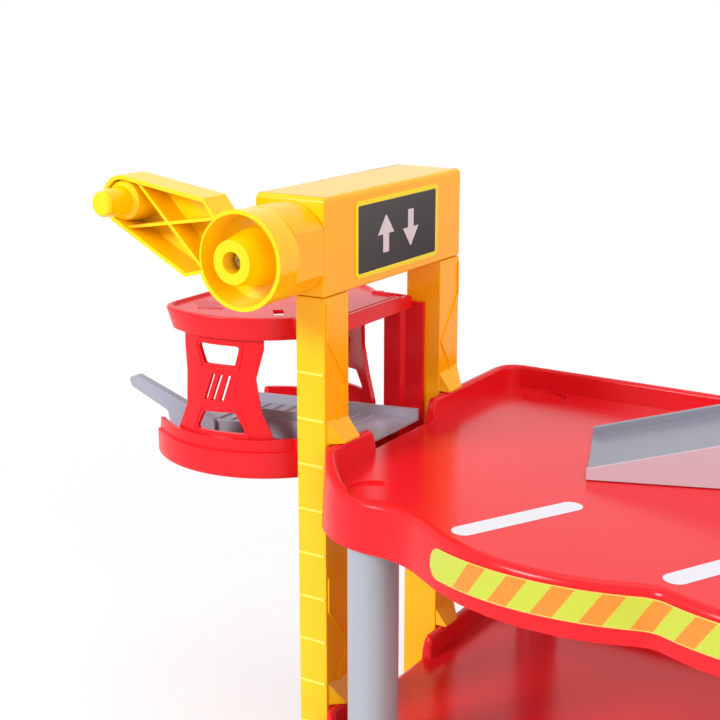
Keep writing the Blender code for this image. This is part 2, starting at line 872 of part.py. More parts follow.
def crank_bearing():
    """The round collar between the beam's end and the crank, with the sleeve that the shaft turns in."""
    front = -CRANK_BACK - BEARING_GAP
    back = POST_OUTER + FIT
    bore = SHAFT_RADIUS + FIT
    sleeve = bore + BEARING_WALL
    collar = rod("crank_bearing", BEARING_RADIUS, (0, 0, back), (0, 0, front), segments=48)
    hollow = rod(
        "collar_hollow",
        BEARING_RADIUS - BEARING_WALL,
        (0, 0, back - BEARING_WALL),
        (0, 0, front - BEARING_WALL),
        segments=48,
    )
    for made, gap in ((collar, 0.0), (hollow, BEARING_WALL)):
        reach = BEAM_DEPTH / 2 - gap
        clip(made, box("collar_room", (-reach, -POST_OUTER, 0.0), (reach, POST_OUTER, 2 * front)))
    cut(collar, hollow)
    join(collar, rod("sleeve", sleeve, (0, 0, POST_OUTER - BEAM_WALL), (0, 0, front - LAP)))
    cut(collar, rod("bore", bore, (0, 0, 0), (0, 0, 2 * front)))
    return along_y(collar, CRANK_X, CRANK_HEIGHT)


# Crank, built round its own axis: X along the arm, Z to the front


def arm_outline(inset):
    """The arm seen from the front: straight sides that narrow from the shoulders to the round end."""
    steps = 8
    end = ARM_END_RADIUS - inset
    slope = math.degrees(math.asin((ARM_SHOULDER_HALF - ARM_END_RADIUS) / (ARM_KNOB - ARM_SHOULDER)))
    shoulder = ARM_SHOULDER_HALF - inset
    root = ARM_ROOT_HALF - inset
    points = [(0.0, -root), (ARM_ROOT, -root), (ARM_SHOULDER, -shoulder)]
    points += arc(ARM_KNOB, 0.0, end, -90 + slope, 90 - slope, steps)
    points += [(ARM_SHOULDER, shoulder), (ARM_ROOT, root), (0.0, root)]
    return points


def crank_handle():
    """Cup, hub, ribbed open arm and knob in one moulding. Its back face is at Z = 0."""
    depth = CRANK_DEPTH
    made = rod("crank_handle", CUP_RADIUS - CUP_DRAFT, (0, 0, 0), (0, 0, depth), CUP_RADIUS, 48)
    join(made, plate("arm", arm_outline(0.0), depth))
    cup = rod(
        "cup",
        CUP_RADIUS - CUP_DRAFT - CRANK_WALL,
        (0, 0, CRANK_FLOOR),
        (0, 0, 2 * depth),
        CUP_RADIUS + CUP_DRAFT - CRANK_WALL,
        48,
    )
    pocket = plate("arm_pocket", arm_outline(CRANK_WALL), depth)
    moved(pocket, Matrix.Translation((0.0, 0.0, CRANK_FLOOR)))
    cut(pocket, rod("cup_outside", CUP_RADIUS - CUP_DRAFT, (0, 0, -depth), (0, 0, 3 * depth), None, 48))
    cut(made, pocket, cup)
    for side in (-1, 1):
        half = ARM_RIB_LENGTH / 2
        rib = box(
            "arm_rib",
            (-half, -ARM_RIB / 2, CRANK_FLOOR - LAP),
            (half, ARM_RIB / 2, depth - ARM_RIB_SET_BACK),
        )
        turn = Matrix.Rotation(math.radians(side * ARM_RIB_SLANT), 4, "Z")
        moved(rib, Matrix.Translation((ARM_CROSS, 0.0, 0.0)) @ turn)
        clip(rib, plate("rib_room", arm_outline(CRANK_WALL - LAP), 2 * depth))
        cut(rib, rod("cup_room", CUP_RADIUS - 2 * CUP_DRAFT, (0, 0, -depth), (0, 0, 3 * depth), None, 48))
        join(made, rib)
    hub = rod(
        "hub", HUB_BACK_RADIUS, (0, 0, CRANK_FLOOR - LAP), (0, 0, depth + HUB_PROUD), HUB_FRONT_RADIUS
    )
    knob = turned(
        "knob",
        (
            (0.0, depth + KNOB_PROUD),
            (KNOB_TIP_RADIUS - KNOB_ROUND, depth + KNOB_PROUD),
            (KNOB_TIP_RADIUS, depth + KNOB_PROUD - KNOB_ROUND),
            (KNOB_TIP_RADIUS + KNOB_ROUND, depth),
            (KNOB_BASE_RADIUS - KNOB_NECK, depth - KNOB_NECK),
            (KNOB_BASE_RADIUS, CRANK_FLOOR - LAP),
            (0.0, CRANK_FLOOR - LAP),
        ),
        32,
    )
    join(made, hub, moved(knob, Matrix.Translation((ARM_KNOB, 0.0, 0.0))))
    front = depth + HUB_PROUD
    cut(
        made,
        rod("screw_recess", HUB_BORE, (0, 0, front - HUB_BORE_DEPTH), (0, 0, front + depth)),
        rod("screw_hole", SCREW_RADIUS + FIT, (0, 0, -depth), (0, 0, 2 * depth), segments=16),
        rod("shaft_socket", SHAFT_RADIUS + FIT, (0, 0, -depth), (0, 0, SHAFT_SOCKET)),
    )
    return made


def crank_screw():
    """The screw in the hub that holds the crank on its shaft."""
    seat = CRANK_DEPTH + HUB_PROUD - HUB_BORE_DEPTH + FIT
    made = rod("crank_screw", SCREW_HEAD_RADIUS, (0, 0, seat), (0, 0, seat + SCREW_HEAD), segments=24)
    join(made, rod("shank", SCREW_RADIUS, (0, 0, seat - SCREW_LENGTH), (0, 0, seat + LAP), segments=16))
    low = seat + SCREW_HEAD - SCREW_SLOT_DEPTH
    high = seat + 2 * SCREW_HEAD
    for name, x, y in (
        ("slot_a", SCREW_SLOT_REACH, SCREW_SLOT_HALF),
        ("slot_b", SCREW_SLOT_HALF, SCREW_SLOT_REACH),
    ):
        cut(made, box(name, (-x, -y, low), (x, y, high)))
    return made


def crank_shaft():
    """The shaft from the crank's socket to past the rear rib of the beam."""
    front = SHAFT_SOCKET - FIT
    back = CRANK_BACK - BEAM_RIB_Y - SHAFT_PAST_RIB
    made = rod("crank_shaft", SHAFT_RADIUS, (0, 0, back), (0, 0, front), segments=32)
    seat = CRANK_DEPTH + HUB_PROUD - HUB_BORE_DEPTH + FIT
    bore_end = seat - SCREW_LENGTH - 2 * FIT
    cut(made, rod("screw_bore", SCREW_RADIUS + FIT, (0, 0, bore_end), (0, 0, 2 * front), segments=16))
    return made


def winding_spool():
    """The spool inside the beam that takes up the lift's line."""
    middle = CRANK_BACK
    half = SPOOL_HALF_LENGTH
    bore = SHAFT_RADIUS + FIT
    flange = SPOOL_FLANGE_THICKNESS
    return turned(
        "winding_spool",
        (
            (bore, middle + half),
            (SPOOL_FLANGE, middle + half),
            (SPOOL_FLANGE, middle + half - flange),
            (SPOOL_RADIUS, middle + half - flange),
            (SPOOL_RADIUS, middle - half + flange),
            (SPOOL_FLANGE, middle - half + flange),
            (SPOOL_FLANGE, middle - half),
            (bore, middle - half),
        ),
        24,
    )


# Lift cage, built round the upper floor's level at its top stop


def cage_outline(radius, flat_x, gate_x, corner):
    """A circle cut flat on the far side from the gate, and drawn out to the guides on the gate side."""
    flat_half = math.sqrt(radius ** 2 - (flat_x - CAGE_X) ** 2)
    flat_angle = math.degrees(math.atan2(flat_half, flat_x - CAGE_X))
    guide_y = POST_INNER - FIT - GUIDE_THICKNESS - GUIDE_FOLD
    side_x = GUIDE_LEFT_X - FIT
    side_y = guide_y + GUIDE_THICKNESS
    before_corner = flat_angle - math.degrees(corner / radius)
    upper = arc(CAGE_X, 0.0, radius, CAGE_ARC_END, before_corner, 16)
    first = Vector(upper[-1])
    middle = Vector((flat_x, flat_half))
    last = Vector((flat_x, flat_half - corner))
    steps = 3
    for step in range(1, steps + 1):
        t = step / steps
        upper.append(tuple(first * (1 - t) ** 2 + middle * 2 * t * (1 - t) + last * t ** 2))
    gate = [
        (gate_x, -guide_y + FIT),
        (gate_x, guide_y - FIT),
        (side_x, guide_y - FIT),
        (side_x, side_y),
    ]
    lower = [(x, -y) for x, y in reversed(upper)]
    return upper + lower + [(side_x, -side_y), (side_x, -guide_y + FIT)] + gate


def cage_base():
    """The round red tray at the foot of the cage, with the lugs that carry the tilting tray."""
    outline = cage_outline(CAGE_RADIUS, CAGE_FLAT_X, CAGE_GATE_X, CAGE_CORNER)
    floor = CAGE_BOTTOM + CAGE_WALL
    profiles = []
    for x, y in outline:
        on_side = CAGE_FLAT_X + NEAR < x < GUIDE_LEFT_X
        on_round = on_side and x < GUIDE_LEFT_X - 2 * FIT
        high = CAGE_RIM_Z if y < 0 else CAGE_BACK_RIM_Z
        rim = high if on_side else CAGE_SILL_Z
        step_z = min(CAGE_STEP_Z, rim - CAGE_RIM_STEP)
        step = CAGE_STEP if on_round else 0.0
        foot = arc(-CAGE_ROUND, CAGE_BOTTOM + CAGE_ROUND, CAGE_ROUND, -90, 0, 2)
        wall = [
            (0.0, step_z),
            (-step, step_z + CAGE_STEP_HEIGHT),
            (-step, rim),
            (-CAGE_STEP - CAGE_WALL, rim),
            (-CAGE_STEP - CAGE_WALL, floor),
        ]
        profiles.append(foot + wall)
    made = moulded_shell("cage_base", outline, profiles)
    low = floor - LAP
    inner = TRAY_LUG_Y + LUG_THICKNESS + FIT
    for side in (-1, 1):
        near = side * inner
        far = side * (inner + LUG_THICKNESS)
        lug = box(
            "lug",
            (PIVOT_X - LUG_RADIUS, min(near, far), low),
            (PIVOT_X + LUG_RADIUS, max(near, far), PIVOT_Z),
        )
        join(lug, rod("lug_eye", LUG_RADIUS, (PIVOT_X, near, PIVOT_Z), (PIVOT_X, far, PIVOT_Z), segments=24))
        rest_x = TRAY_LEFT_X + REST_SET_IN
        rest_z = tray_floor_z(rest_x) - TRAY_FLOOR - 2 * FIT
        rest = box(
            "rest",
            (rest_x - RIB_THICKNESS, min(side * REST_INNER, side * REST_OUTER), low),
            (rest_x, max(side * REST_INNER, side * REST_OUTER), rest_z),
        )
        join(made, lug, rest)
    reach = 2 * inner
    hole = rod(
        "pin_hole", PIN_RADIUS + FIT, (PIVOT_X, -reach, PIVOT_Z), (PIVOT_X, reach, PIVOT_Z), segments=16
    )
    return cut(made, hole)


def cage_roof():
    """The flared red roof of the cage, with a rim round its top and a slot."""
    outline = cage_outline(ROOF_RADIUS, ROOF_FLAT_X, ROOF_GATE_X, ROOF_CORNER)
    ceiling = ROOF_TOP - ROOF_RECESS - ROOF_PLATE
    inner = -ROOF_FLARE - CAGE_WALL
    top = arc(-ROOF_EDGE, ROOF_TOP - ROOF_EDGE, ROOF_EDGE, 0, 90, 2)
    top += [(-ROOF_RIM_WIDTH, ROOF_TOP), (-ROOF_RIM_WIDTH - ROOF_LEDGE, ROOF_TOP - ROOF_RECESS)]
    round_profile = [(inner, ceiling), (inner, ROOF_BOTTOM), (-ROOF_FLARE, ROOF_BOTTOM)] + top
    gate_profile = [(inner, ceiling), (inner, ROOF_GATE_BOTTOM), (0.0, ROOF_GATE_BOTTOM)] + top
    profiles = [gate_profile if x > GUIDE_LEFT_X - 2 * FIT else round_profile for x, _ in outline]
    made = moulded_shell("cage_roof", outline, profiles)
    reach = ROOF_TOP - ROOF_BOTTOM
    slot = box(
        "roof_slot",
        (-ROOF_SLOT_HALF_LENGTH, -ROOF_SLOT_HALF_WIDTH, -reach),
        (ROOF_SLOT_HALF_LENGTH, ROOF_SLOT_HALF_WIDTH, reach),
    )
    turn = Matrix.Rotation(math.radians(ROOF_SLOT_TURN), 4, "Z")
    moved(slot, Matrix.Translation((ROOF_SLOT_X, ROOF_SLOT_Y, ROOF_TOP)) @ turn)
    return cut(made, slot)


def panel_point(s, z, out):
    """Bends a flat panel point round the cage: s runs round it, out is the distance from its middle face."""
    angle = math.radians(270.0) + s / PANEL_BASE_RADIUS
    rise = min(max(z / ROOF_BOTTOM, 0.0), 1.0)
    radius = PANEL_BASE_RADIUS + (PANEL_TOP_RADIUS - PANEL_BASE_RADIUS) * rise + out
    return (CAGE_X + radius * math.cos(angle), radius * math.sin(angle), z)


def from_angle(degrees):
    """Distance round the cage from the middle of the front side."""
    return math.radians(degrees - 270.0) * PANEL_BASE_RADIUS


def frame_ridge(corners, grow):
    """A thin raised line round a window of the flat panel."""
    middle = Vector((sum(x for x, _ in corners), sum(z for _, z in corners))) / len(corners)
    loops = []
    for reach in (grow, grow + PANEL_RIDGE):
        loop = []
        for x, z in corners:
            out = Vector((math.copysign(1.0, x - middle.x), math.copysign(1.0, z - middle.y)))
            loop.append((x + out.x * reach, z + out.y * reach))
        loops.append(rounded(loop, WINDOW_ROUND, 2))
    ridge = plate("ridge", loops[1], PANEL_RIDGE_PROUD + LAP, loops[:1])
    return moved(ridge, Matrix.Translation((0.0, 0.0, PANEL_THICKNESS - LAP)))


def cage_panel_front():
    """The hour-glass panel on the front side, with two windows and three slanted slots."""
    floor = CAGE_BOTTOM + CAGE_WALL + FIT
    ceiling = ROOF_TOP - ROOF_RECESS - ROOF_PLATE - FIT
    sides = ((floor, *PANEL_SIDES[0][1:]), *PANEL_SIDES, (ceiling, *PANEL_SIDES[-1][1:]))
    outline = [(from_angle(right), z) for z, _, right in sides]
    outline += [(from_angle(left), z) for z, left, _ in reversed(sides)]
    windows = [[(from_angle(a), z) for a, z in window] for window in (PANEL_UPPER_WINDOW, PANEL_LOWER_WINDOW)]
    holes = [rounded(window, WINDOW_ROUND, 2) for window in windows]
    for low_angle, high_angle in PANEL_SLOTS:
        low_s = from_angle(low_angle)
        high_s = from_angle(high_angle)
        holes.append(
            [
                (low_s - SLOT_HALF, SLOT_LOW),
                (low_s + SLOT_HALF, SLOT_LOW),
                (high_s + SLOT_HALF, SLOT_HIGH),
                (high_s - SLOT_HALF, SLOT_HIGH),
            ]
        )
    flat = plate("cage_panel_front", outline, PANEL_THICKNESS, holes)
    for window in windows:
        join(flat, frame_ridge(window, WINDOW_ROUND))
    shape = bmesh.new()
    shape.from_mesh(flat.data)
    step = PANEL_START
    while step < PANEL_END:
        everything = list(shape.verts) + list(shape.edges) + list(shape.faces)
        bmesh.ops.bisect_plane(
            shape,
            geom=everything,
            dist=WELD,
            plane_co=(from_angle(step), 0.0, 0.0),
            plane_no=(1.0, 0.0, 0.0),
        )
        step += PANEL_STEP
    for vert in shape.verts:
        vert.co = panel_point(vert.co.x, vert.co.y, vert.co.z - PANEL_THICKNESS / 2)
    bpy.data.objects.remove(flat, do_unlink=True)
    return object_from("cage_panel_front", shape)


def cage_guide_front():
    """The folded red plate that runs along the front post, with the hook behind its rail."""
    outer = -POST_INNER + FIT
    inner = outer + GUIDE_THICKNESS
    folded_outer = outer + GUIDE_FOLD
    folded_inner = inner + GUIDE_FOLD
    hook_x = -POST_DEPTH - RAIL_DEPTH - FIT
    outline = [
        (GUIDE_RIGHT_X, outer),
        (GUIDE_RIGHT_X, inner),
        (GUIDE_FOLD_X + GUIDE_FOLD, inner),
        (GUIDE_FOLD_X, folded_inner),
        (GUIDE_LEFT_X, folded_inner),
        (GUIDE_LEFT_X, folded_outer),
        (hook_x - GUIDE_THICKNESS - FIT, folded_outer),
        (hook_x - GUIDE_THICKNESS, outer - GUIDE_HOOK),
        (hook_x, outer - GUIDE_HOOK),
        (hook_x, outer),
    ]
    made = plate("cage_guide_front", outline[::-1], GUIDE_TOP - GUIDE_BOTTOM)
    return moved(made, Matrix.Translation((0.0, 0.0, GUIDE_BOTTOM)))


def mirrored(source, name):
    """The same moulding on the rear side of the gate."""
    mesh = source.data.copy()
    mesh.name = name
    return moved(mesh_object(name, mesh), Matrix.Diagonal((1.0, -1.0, 1.0, 1.0)))


# Tilting tray


def tray_floor_z(x):
    """Height of the tray's floor, which slopes up towards the gate at rest."""
    return -TRAY_WALL_HEIGHT + (x - TRAY_LEVEL_X) * math.tan(math.radians(TRAY_SLOPE))


def side_plate(name, outline, near_y, thickness):
    """An outline in X and Z, extruded along Y from its near face."""
    made = plate(name, outline, thickness)
    upright = Matrix(((1, 0, 0, 0), (0, 0, 1, near_y), (0, 1, 0, 0), (0, 0, 0, 1)))
    return moved(made, upright)


def lift_tray():
    """The grey tray that tips the car out, with the lever that grows out of its front wall."""
    left = TRAY_LEFT_X
    right = TRAY_RIGHT_X

    def wall(x, above):
        return (x, tray_floor_z(x) + above)

    under = -TRAY_FLOOR
    floor_outline = [wall(left, under), wall(right, under), wall(right, 0.0), wall(left, 0.0)]
    made = side_plate("lift_tray", floor_outline, -TRAY_HALF_WIDTH + LAP, 2 * (TRAY_HALF_WIDTH - LAP))
    top = TRAY_WALL_HEIGHT
    wall_outline = [wall(left, under), wall(right, under), wall(right, top), wall(left, top)]
    lever_outline = rounded(
        [
            (*wall(left, under + LAP), 0.0),
            (*wall(LEVER_END_X, under + LAP), 0.0),
            (*wall(LEVER_END_X, top), LEVER_ROUND),
            *LEVER_TIP,
        ],
        0.0,
        3,
    )
    near = -TRAY_HALF_WIDTH
    lever_near = near + TRAY_WALL - LEVER_THICKNESS
    cheek_foot = TRAY_WALL_HEIGHT - LAP
    cheek_outline = [
        wall(CHEEK_LEFT_X + LAP, cheek_foot),
        wall(CHEEK_RIGHT_X - LAP, cheek_foot),
        wall(CHEEK_RIGHT_X - LAP, CHEEK_HEIGHT),
        wall(CHEEK_LEFT_X + LAP, CHEEK_HEIGHT),
    ]
    ledge_outline = [
        wall(CHEEK_LEFT_X, under + LAP),
        wall(CHEEK_RIGHT_X, under + LAP),
        wall(CHEEK_RIGHT_X, CHEEK_LEDGE),
        wall(CHEEK_LEFT_X, CHEEK_LEDGE),
    ]
    join(made, side_plate("near_wall", wall_outline, near, TRAY_WALL))
    join(made, side_plate("far_wall", wall_outline, TRAY_HALF_WIDTH - TRAY_WALL, TRAY_WALL))
    join(made, side_plate("lever", lever_outline, lever_near, LEVER_THICKNESS))
    join(made, side_plate("cheek", cheek_outline, near + FIT, TRAY_WALL - 2 * FIT))
    join(made, side_plate("ledge", ledge_outline, near - CHEEK_PROUD, CHEEK_PROUD + LAP))
    for k in range(TRAY_RIBS):
        x = TRAY_RIB_START_X + k * TRAY_RIB_PITCH
        rib_outline = [
            wall(x, -LAP),
            wall(x + TRAY_RIB_WIDTH, -LAP),
            wall(x + TRAY_RIB_WIDTH - TRAY_RIB / 2, TRAY_RIB),
            wall(x + TRAY_RIB / 2, TRAY_RIB),
        ]
        half = TRAY_HALF_WIDTH - TRAY_WALL - TRAY_RIB_MARGIN
        join(made, side_plate("rib", rib_outline, -half, 2 * half))
    for side in (-1, 1):
        near = side * TRAY_LUG_Y
        far = side * (TRAY_LUG_Y + LUG_THICKNESS)
        lug = box(
            "tray_lug",
            (PIVOT_X - LUG_RADIUS, min(near, far), PIVOT_Z),
            (PIVOT_X + LUG_RADIUS, max(near, far), tray_floor_z(PIVOT_X) - TRAY_FLOOR / 2),
        )
        join(lug, rod("tray_eye", LUG_RADIUS, (PIVOT_X, near, PIVOT_Z), (PIVOT_X, far, PIVOT_Z), segments=24))
        join(made, lug)
    reach = 2 * TRAY_HALF_WIDTH
    hole = rod(
        "pivot_hole", PIN_RADIUS + FIT, (PIVOT_X, -reach, PIVOT_Z), (PIVOT_X, reach, PIVOT_Z), segments=16
    )
    cut(made, hole)
    return moved(made, Matrix.Translation((-PIVOT_X, 0.0, -PIVOT_Z)))


def tray_pivot_pin():
    half = TRAY_LUG_Y + 2 * LUG_THICKNESS + 2 * FIT
    return rod("tray_pivot_pin", PIN_RADIUS, (PIVOT_X, -half, PIVOT_Z), (PIVOT_X, half, PIVOT_Z), segments=16)


# Ramps and pad


def ramp(name, length, width, rise, lip, curb):
    """A ramp along X with a raised curb on both sides, open underneath. Its foot is at X = 0."""

    def side(low, high):
        return [(0.0, 0.0), (length, 0.0), (length, rise + high), (0.0, lip + low)]

    solid = side_plate(name, side(curb, curb), 0.0, width)
    road_low = [(-LAP, lip), (length + LAP, rise), (length + LAP, rise + 2 * curb), (-LAP, lip + 2 * curb)]
    road = side_plate("road", road_low, RAMP_WALL, width - 2 * RAMP_WALL)
    start = RAMP_SOLID_SHARE * length
    start_z = lip + (rise - lip) * start / length - RAMP_PLATE
    end_z = rise - RAMP_PLATE
    hollow = [(start, -LAP), (length - RAMP_WALL, -LAP), (length - RAMP_WALL, end_z), (start, start_z)]
    under = side_plate("hollow", hollow, RAMP_WALL, width - 2 * RAMP_WALL)
    return cut(solid, road, under)


def pad_outline():
    """The pad's corners. Its left side lies along the ramp's upper end."""
    turn = math.radians(RAMP_TURN)
    run = RAMP_LENGTH + FIT
    end_x = RAMP_X + run * math.cos(turn)
    end_y = RAMP_Y + run * math.sin(turn)
    slant = -math.tan(turn)
    back = DECK_BACK - PAD_MARGIN
    right = DECK_LENGTH - PAD_MARGIN
    front_x = end_x + (PAD_FRONT - end_y) * slant
    back_x = end_x + (back - end_y) * slant
    corners = [(back_x, back, 0.0), (front_x, PAD_FRONT, 0.0), (right, PAD_FRONT), (right, back)]
    return rounded(corners, PAD_CORNER, 4)


def raised_pad():
    """The small upper parking pad that the ramp leads to, with a low rim on three sides."""
    outline = pad_outline()
    turn = math.radians(RAMP_TURN)
    side = Vector((-math.sin(turn), math.cos(turn)))
    foot = Vector((RAMP_X, RAMP_Y)) + (RAMP_LENGTH + FIT) * Vector((math.cos(turn), math.sin(turn)))
    profiles = []
    for x, y in outline:
        off_ramp = abs((Vector((x, y)) - foot).cross(side)) > FIT
        rim = PAD_RIM if off_ramp else 0.0
        inner_edge = PAD_EDGE if off_ramp else 0.0
        profiles.append(
            [
                (-DECK_WALL, -DECK_WALL),
                (-DECK_WALL, -PAD_SKIRT),
                (0.0, -PAD_SKIRT),
                (0.0, rim - PAD_EDGE),
                (-PAD_EDGE, rim),
                (-DECK_WALL + inner_edge, rim),
                (-DECK_WALL - FIT, 0.0),
            ]
        )
    made = moulded_shell("raised_pad", outline, profiles)
    for x, y in PAD_COLUMNS:
        ring = turned(
            "pad_socket",
            (
                (RECESS_RADIUS + BOSS_WALL, -DECK_WALL + LAP),
                (RECESS_RADIUS + BOSS_WALL, -PAD_SKIRT),
                (RECESS_RADIUS, -PAD_SKIRT),
                (RECESS_RADIUS, -DECK_WALL + LAP),
            ),
            32,
        )
        join(made, moved(ring, Matrix.Translation((x, y, 0.0))))
    return made


# Assembly


def empty(name, parent, location):
    made = bpy.data.objects.new(name, None)
    made.empty_display_size = 0.01
    made.parent = parent
    made.location = location
    bpy.data.collections["guides"].objects.link(made)
    return made


def seat(made, parent, location, colour, turn=(0.0, 0.0, 0.0), roughness=0.35, metallic=0.0):
    """Puts a finished piece in the garage: its parent, its place and its own material."""
    made.parent = parent
    made.location = location
    made.rotation_euler = turn
    made.data.materials.clear()
    made.data.materials.append(plastic(f"{made.name}_finish", colour, roughness, metallic))
    made.data.shade_smooth()
    made.data.set_sharp_from_angle(angle=math.radians(SHARP_ANGLE))
    for holder in list(made.users_collection):
        holder.objects.unlink(made)
    bpy.data.collections["toy_parking_garage"].objects.link(made)
    return made


def build_structure(frame):
    seat(deck("base_tray", True, True), frame, (0, 0, BASE_FLOOR), RED)
    seat(deck("upper_deck", False, False), frame, (0, 0, UPPER_FLOOR), RED)
    names = ("column_front_left", "column_rear_left", "column_front_right", "column_rear_right")
    foot = BASE_FLOOR - RECESS_DEPTH + FIT
    length = UPPER_FLOOR - DECK_WALL - FIT - foot
    for name, (x, y) in zip(names, DECK_COLUMNS):
        seat(column(name, length), frame, (x, y, foot), COLUMN_GREY)
    front = front_post()
    rear = mirrored(front, "rear_post")
    for post in (front, rear):
        seat(post, frame, (0, 0, 0), YELLOW)
    for piece in (gantry_beam(), beam_cover(), crank_bearing()):
        seat(piece, frame, (0, 0, 0), YELLOW)


def build_ramps(frame):
    up = ramp("upper_ramp", RAMP_LENGTH, RAMP_WIDTH, PAD_HEIGHT, RAMP_LIP, RAMP_CURB)
    seat(up, frame, (RAMP_X, RAMP_Y, UPPER_FLOOR + FIT), GREY, (0, 0, math.radians(RAMP_TURN)))
    seat(raised_pad(), frame, (0, 0, UPPER_FLOOR + PAD_HEIGHT), RED)
    foot = UPPER_FLOOR - RECESS_DEPTH + FIT
    length = UPPER_FLOOR + PAD_HEIGHT - DECK_WALL - FIT - foot
    for name, (x, y) in zip(("pad_column_rear", "pad_column_front"), PAD_COLUMNS):
        seat(column(name, length), frame, (x, y, foot), COLUMN_GREY)
    width = 2 * GATE_HALF
    entry = ramp("entry_ramp", ENTRY_LENGTH, width, BASE_FLOOR, RAMP_LIP, ENTRY_CURB)
    place = (DECK_LENGTH - DECK_LEFT + FIT + ENTRY_LENGTH, width / 2, 0.0)
    seat(entry, frame, place, GREY, (0, 0, math.radians(180)))


def build_crank(frame):
    axis = empty("crank_axis", frame, (CRANK_X, CRANK_BACK, CRANK_HEIGHT))
    face_front = math.radians(90)
    arm_turn = Matrix.Rotation(math.radians(180 - ARM_ANGLE), 4, "Z")
    handle = moved(crank_handle(), arm_turn)
    seat(handle, axis, (0, 0, 0), YELLOW, (face_front, 0, 0))
    seat(crank_screw(), axis, (0, 0, 0), STEEL, (face_front, 0, 0), 0.3, 1.0)
    seat(crank_shaft(), axis, (0, 0, 0), COLUMN_GREY, (face_front, 0, 0))
    seat(winding_spool(), axis, (0, 0, 0), COLUMN_GREY, (face_front, 0, 0))


def build_lift(frame):
    cage = empty("lift_cage_travel", frame, (0, 0, UPPER_FLOOR))
    panel = cage_panel_front()
    panel_rear = mirrored(panel, "cage_panel_rear")
    axis = Matrix.Translation((CAGE_X, 0.0, 0.0))
    moved(panel_rear, axis @ Matrix.Rotation(math.radians(-PANEL_BACK_TURN), 4, "Z") @ axis.inverted())
    guide = cage_guide_front()
    pieces = (
        cage_base(),
        cage_roof(),
        panel,
        panel_rear,
        guide,
        mirrored(guide, "cage_guide_rear"),
    )
    for piece in pieces:
        seat(piece, cage, (0, 0, 0), RED)
    seat(tray_pivot_pin(), cage, (0, 0, 0), STEEL, (0, 0, 0), 0.3, 1.0)
    pivot = empty("tray_pivot", cage, (PIVOT_X, 0, PIVOT_Z))
    seat(lift_tray(), pivot, (0, 0, 0), GREY)


def centre_on_underside(frame):
    """Moves the frame so that the middle of the model's underside is the origin."""
    bpy.context.view_layer.update()
    corners = [
        made.matrix_world @ vert.co
        for made in bpy.data.collections["toy_parking_garage"].objects
        for vert in made.data.vertices
    ]
    low = [min(corner[axis] for corner in corners) for axis in range(3)]
    high = [max(corner[axis] for corner in corners) for axis in range(3)]
    frame.location = (-(low[0] + high[0]) / 2, -(low[1] + high[1]) / 2, -low[2])
    bpy.context.view_layer.update()
    print("frame", tuple(round(value, 6) for value in frame.location))


def main():
    clear_scene()
    new_collection("toy_parking_garage")
    new_collection("cutters")
    new_collection("guides")
    frame = empty("garage_frame", None, (0, 0, 0))
    build_structure(frame)
    build_ramps(frame)
    build_crank(frame)
    build_lift(frame)
    centre_on_underside(frame)


main()
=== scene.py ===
"""Looks of a toy parking garage: glossy moulded plastic, printed stickers and plain studio light.

The garage's own lengths are millimetres from the foot of the gantry, where X runs towards the parking
bays, Y towards the back and Z up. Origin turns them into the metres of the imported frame.
"""

import logging
import math
from dataclasses import dataclass, field
from enum import Enum
from typing import Callable

import bpy
from mathutils import Matrix, Vector


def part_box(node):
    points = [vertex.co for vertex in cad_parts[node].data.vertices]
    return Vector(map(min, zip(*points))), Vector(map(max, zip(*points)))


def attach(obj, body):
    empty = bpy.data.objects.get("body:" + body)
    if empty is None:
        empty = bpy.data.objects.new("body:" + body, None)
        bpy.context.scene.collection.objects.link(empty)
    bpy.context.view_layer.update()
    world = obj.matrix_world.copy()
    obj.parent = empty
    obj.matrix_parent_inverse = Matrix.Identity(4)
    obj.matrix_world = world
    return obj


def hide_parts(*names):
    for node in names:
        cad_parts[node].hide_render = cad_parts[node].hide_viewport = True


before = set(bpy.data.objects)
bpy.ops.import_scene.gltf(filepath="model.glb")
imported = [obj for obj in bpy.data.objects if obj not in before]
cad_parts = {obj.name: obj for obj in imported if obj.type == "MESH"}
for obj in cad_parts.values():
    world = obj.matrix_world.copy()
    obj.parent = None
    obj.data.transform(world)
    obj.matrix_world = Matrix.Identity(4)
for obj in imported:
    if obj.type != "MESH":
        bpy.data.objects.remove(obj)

LOG = logging.getLogger("garage_looks")
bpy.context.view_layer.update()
MM = 0.001
UPPER_FLOOR = 150.0
RAMP_TURN = 20.7
STICKER_GAP = 0.05
WELD_GAP = 0.005
CORNER_STEPS = 7
FACING = 0.9
MEAN_NOISE = 0.5
PLAIN_WHITE = (1.0, 1.0, 1.0)
Triple = tuple[float, float, float]


class Body(Enum):
    """The moving bodies of the frame."""

    GARAGE = "garage"
    CRANK = "crank"
    CAGE = "lift_cage"
    TRAY = "tray"


class Slot(Enum):
    """The record's material slots."""

    RED = "red_gloss_plastic"
    YELLOW = "yellow_gloss_plastic"
    GREY = "grey_plastic"
    COLUMN = "column_plastic"
    STEEL = "steel"


class Element(Enum):
    """The parts of a mesh that edit mode can select."""

    FACE = "FACE"
    EDGE = "EDGE"


class Origin:
    """The foot of the gantry in the frame, from which the garage's own lengths are measured."""

    def __init__(self) -> None:
        """Reads the place of the gantry from its beam."""
        low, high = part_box("gantry_beam")
        self.foot = Vector((high.x, (low.y + high.y) / 2, 0.0))

    def point(self, x: float, y: float, z: float) -> Vector:
        """Turns millimetres from the gantry's foot into a point of the frame.

        Args:
            x: distance towards the parking bays.
            y: distance towards the back.
            z: height over the ground.

        Returns:
            The point in metres.
        """
        return self.foot + Vector((x, y, z)) * MM


# Shader maths


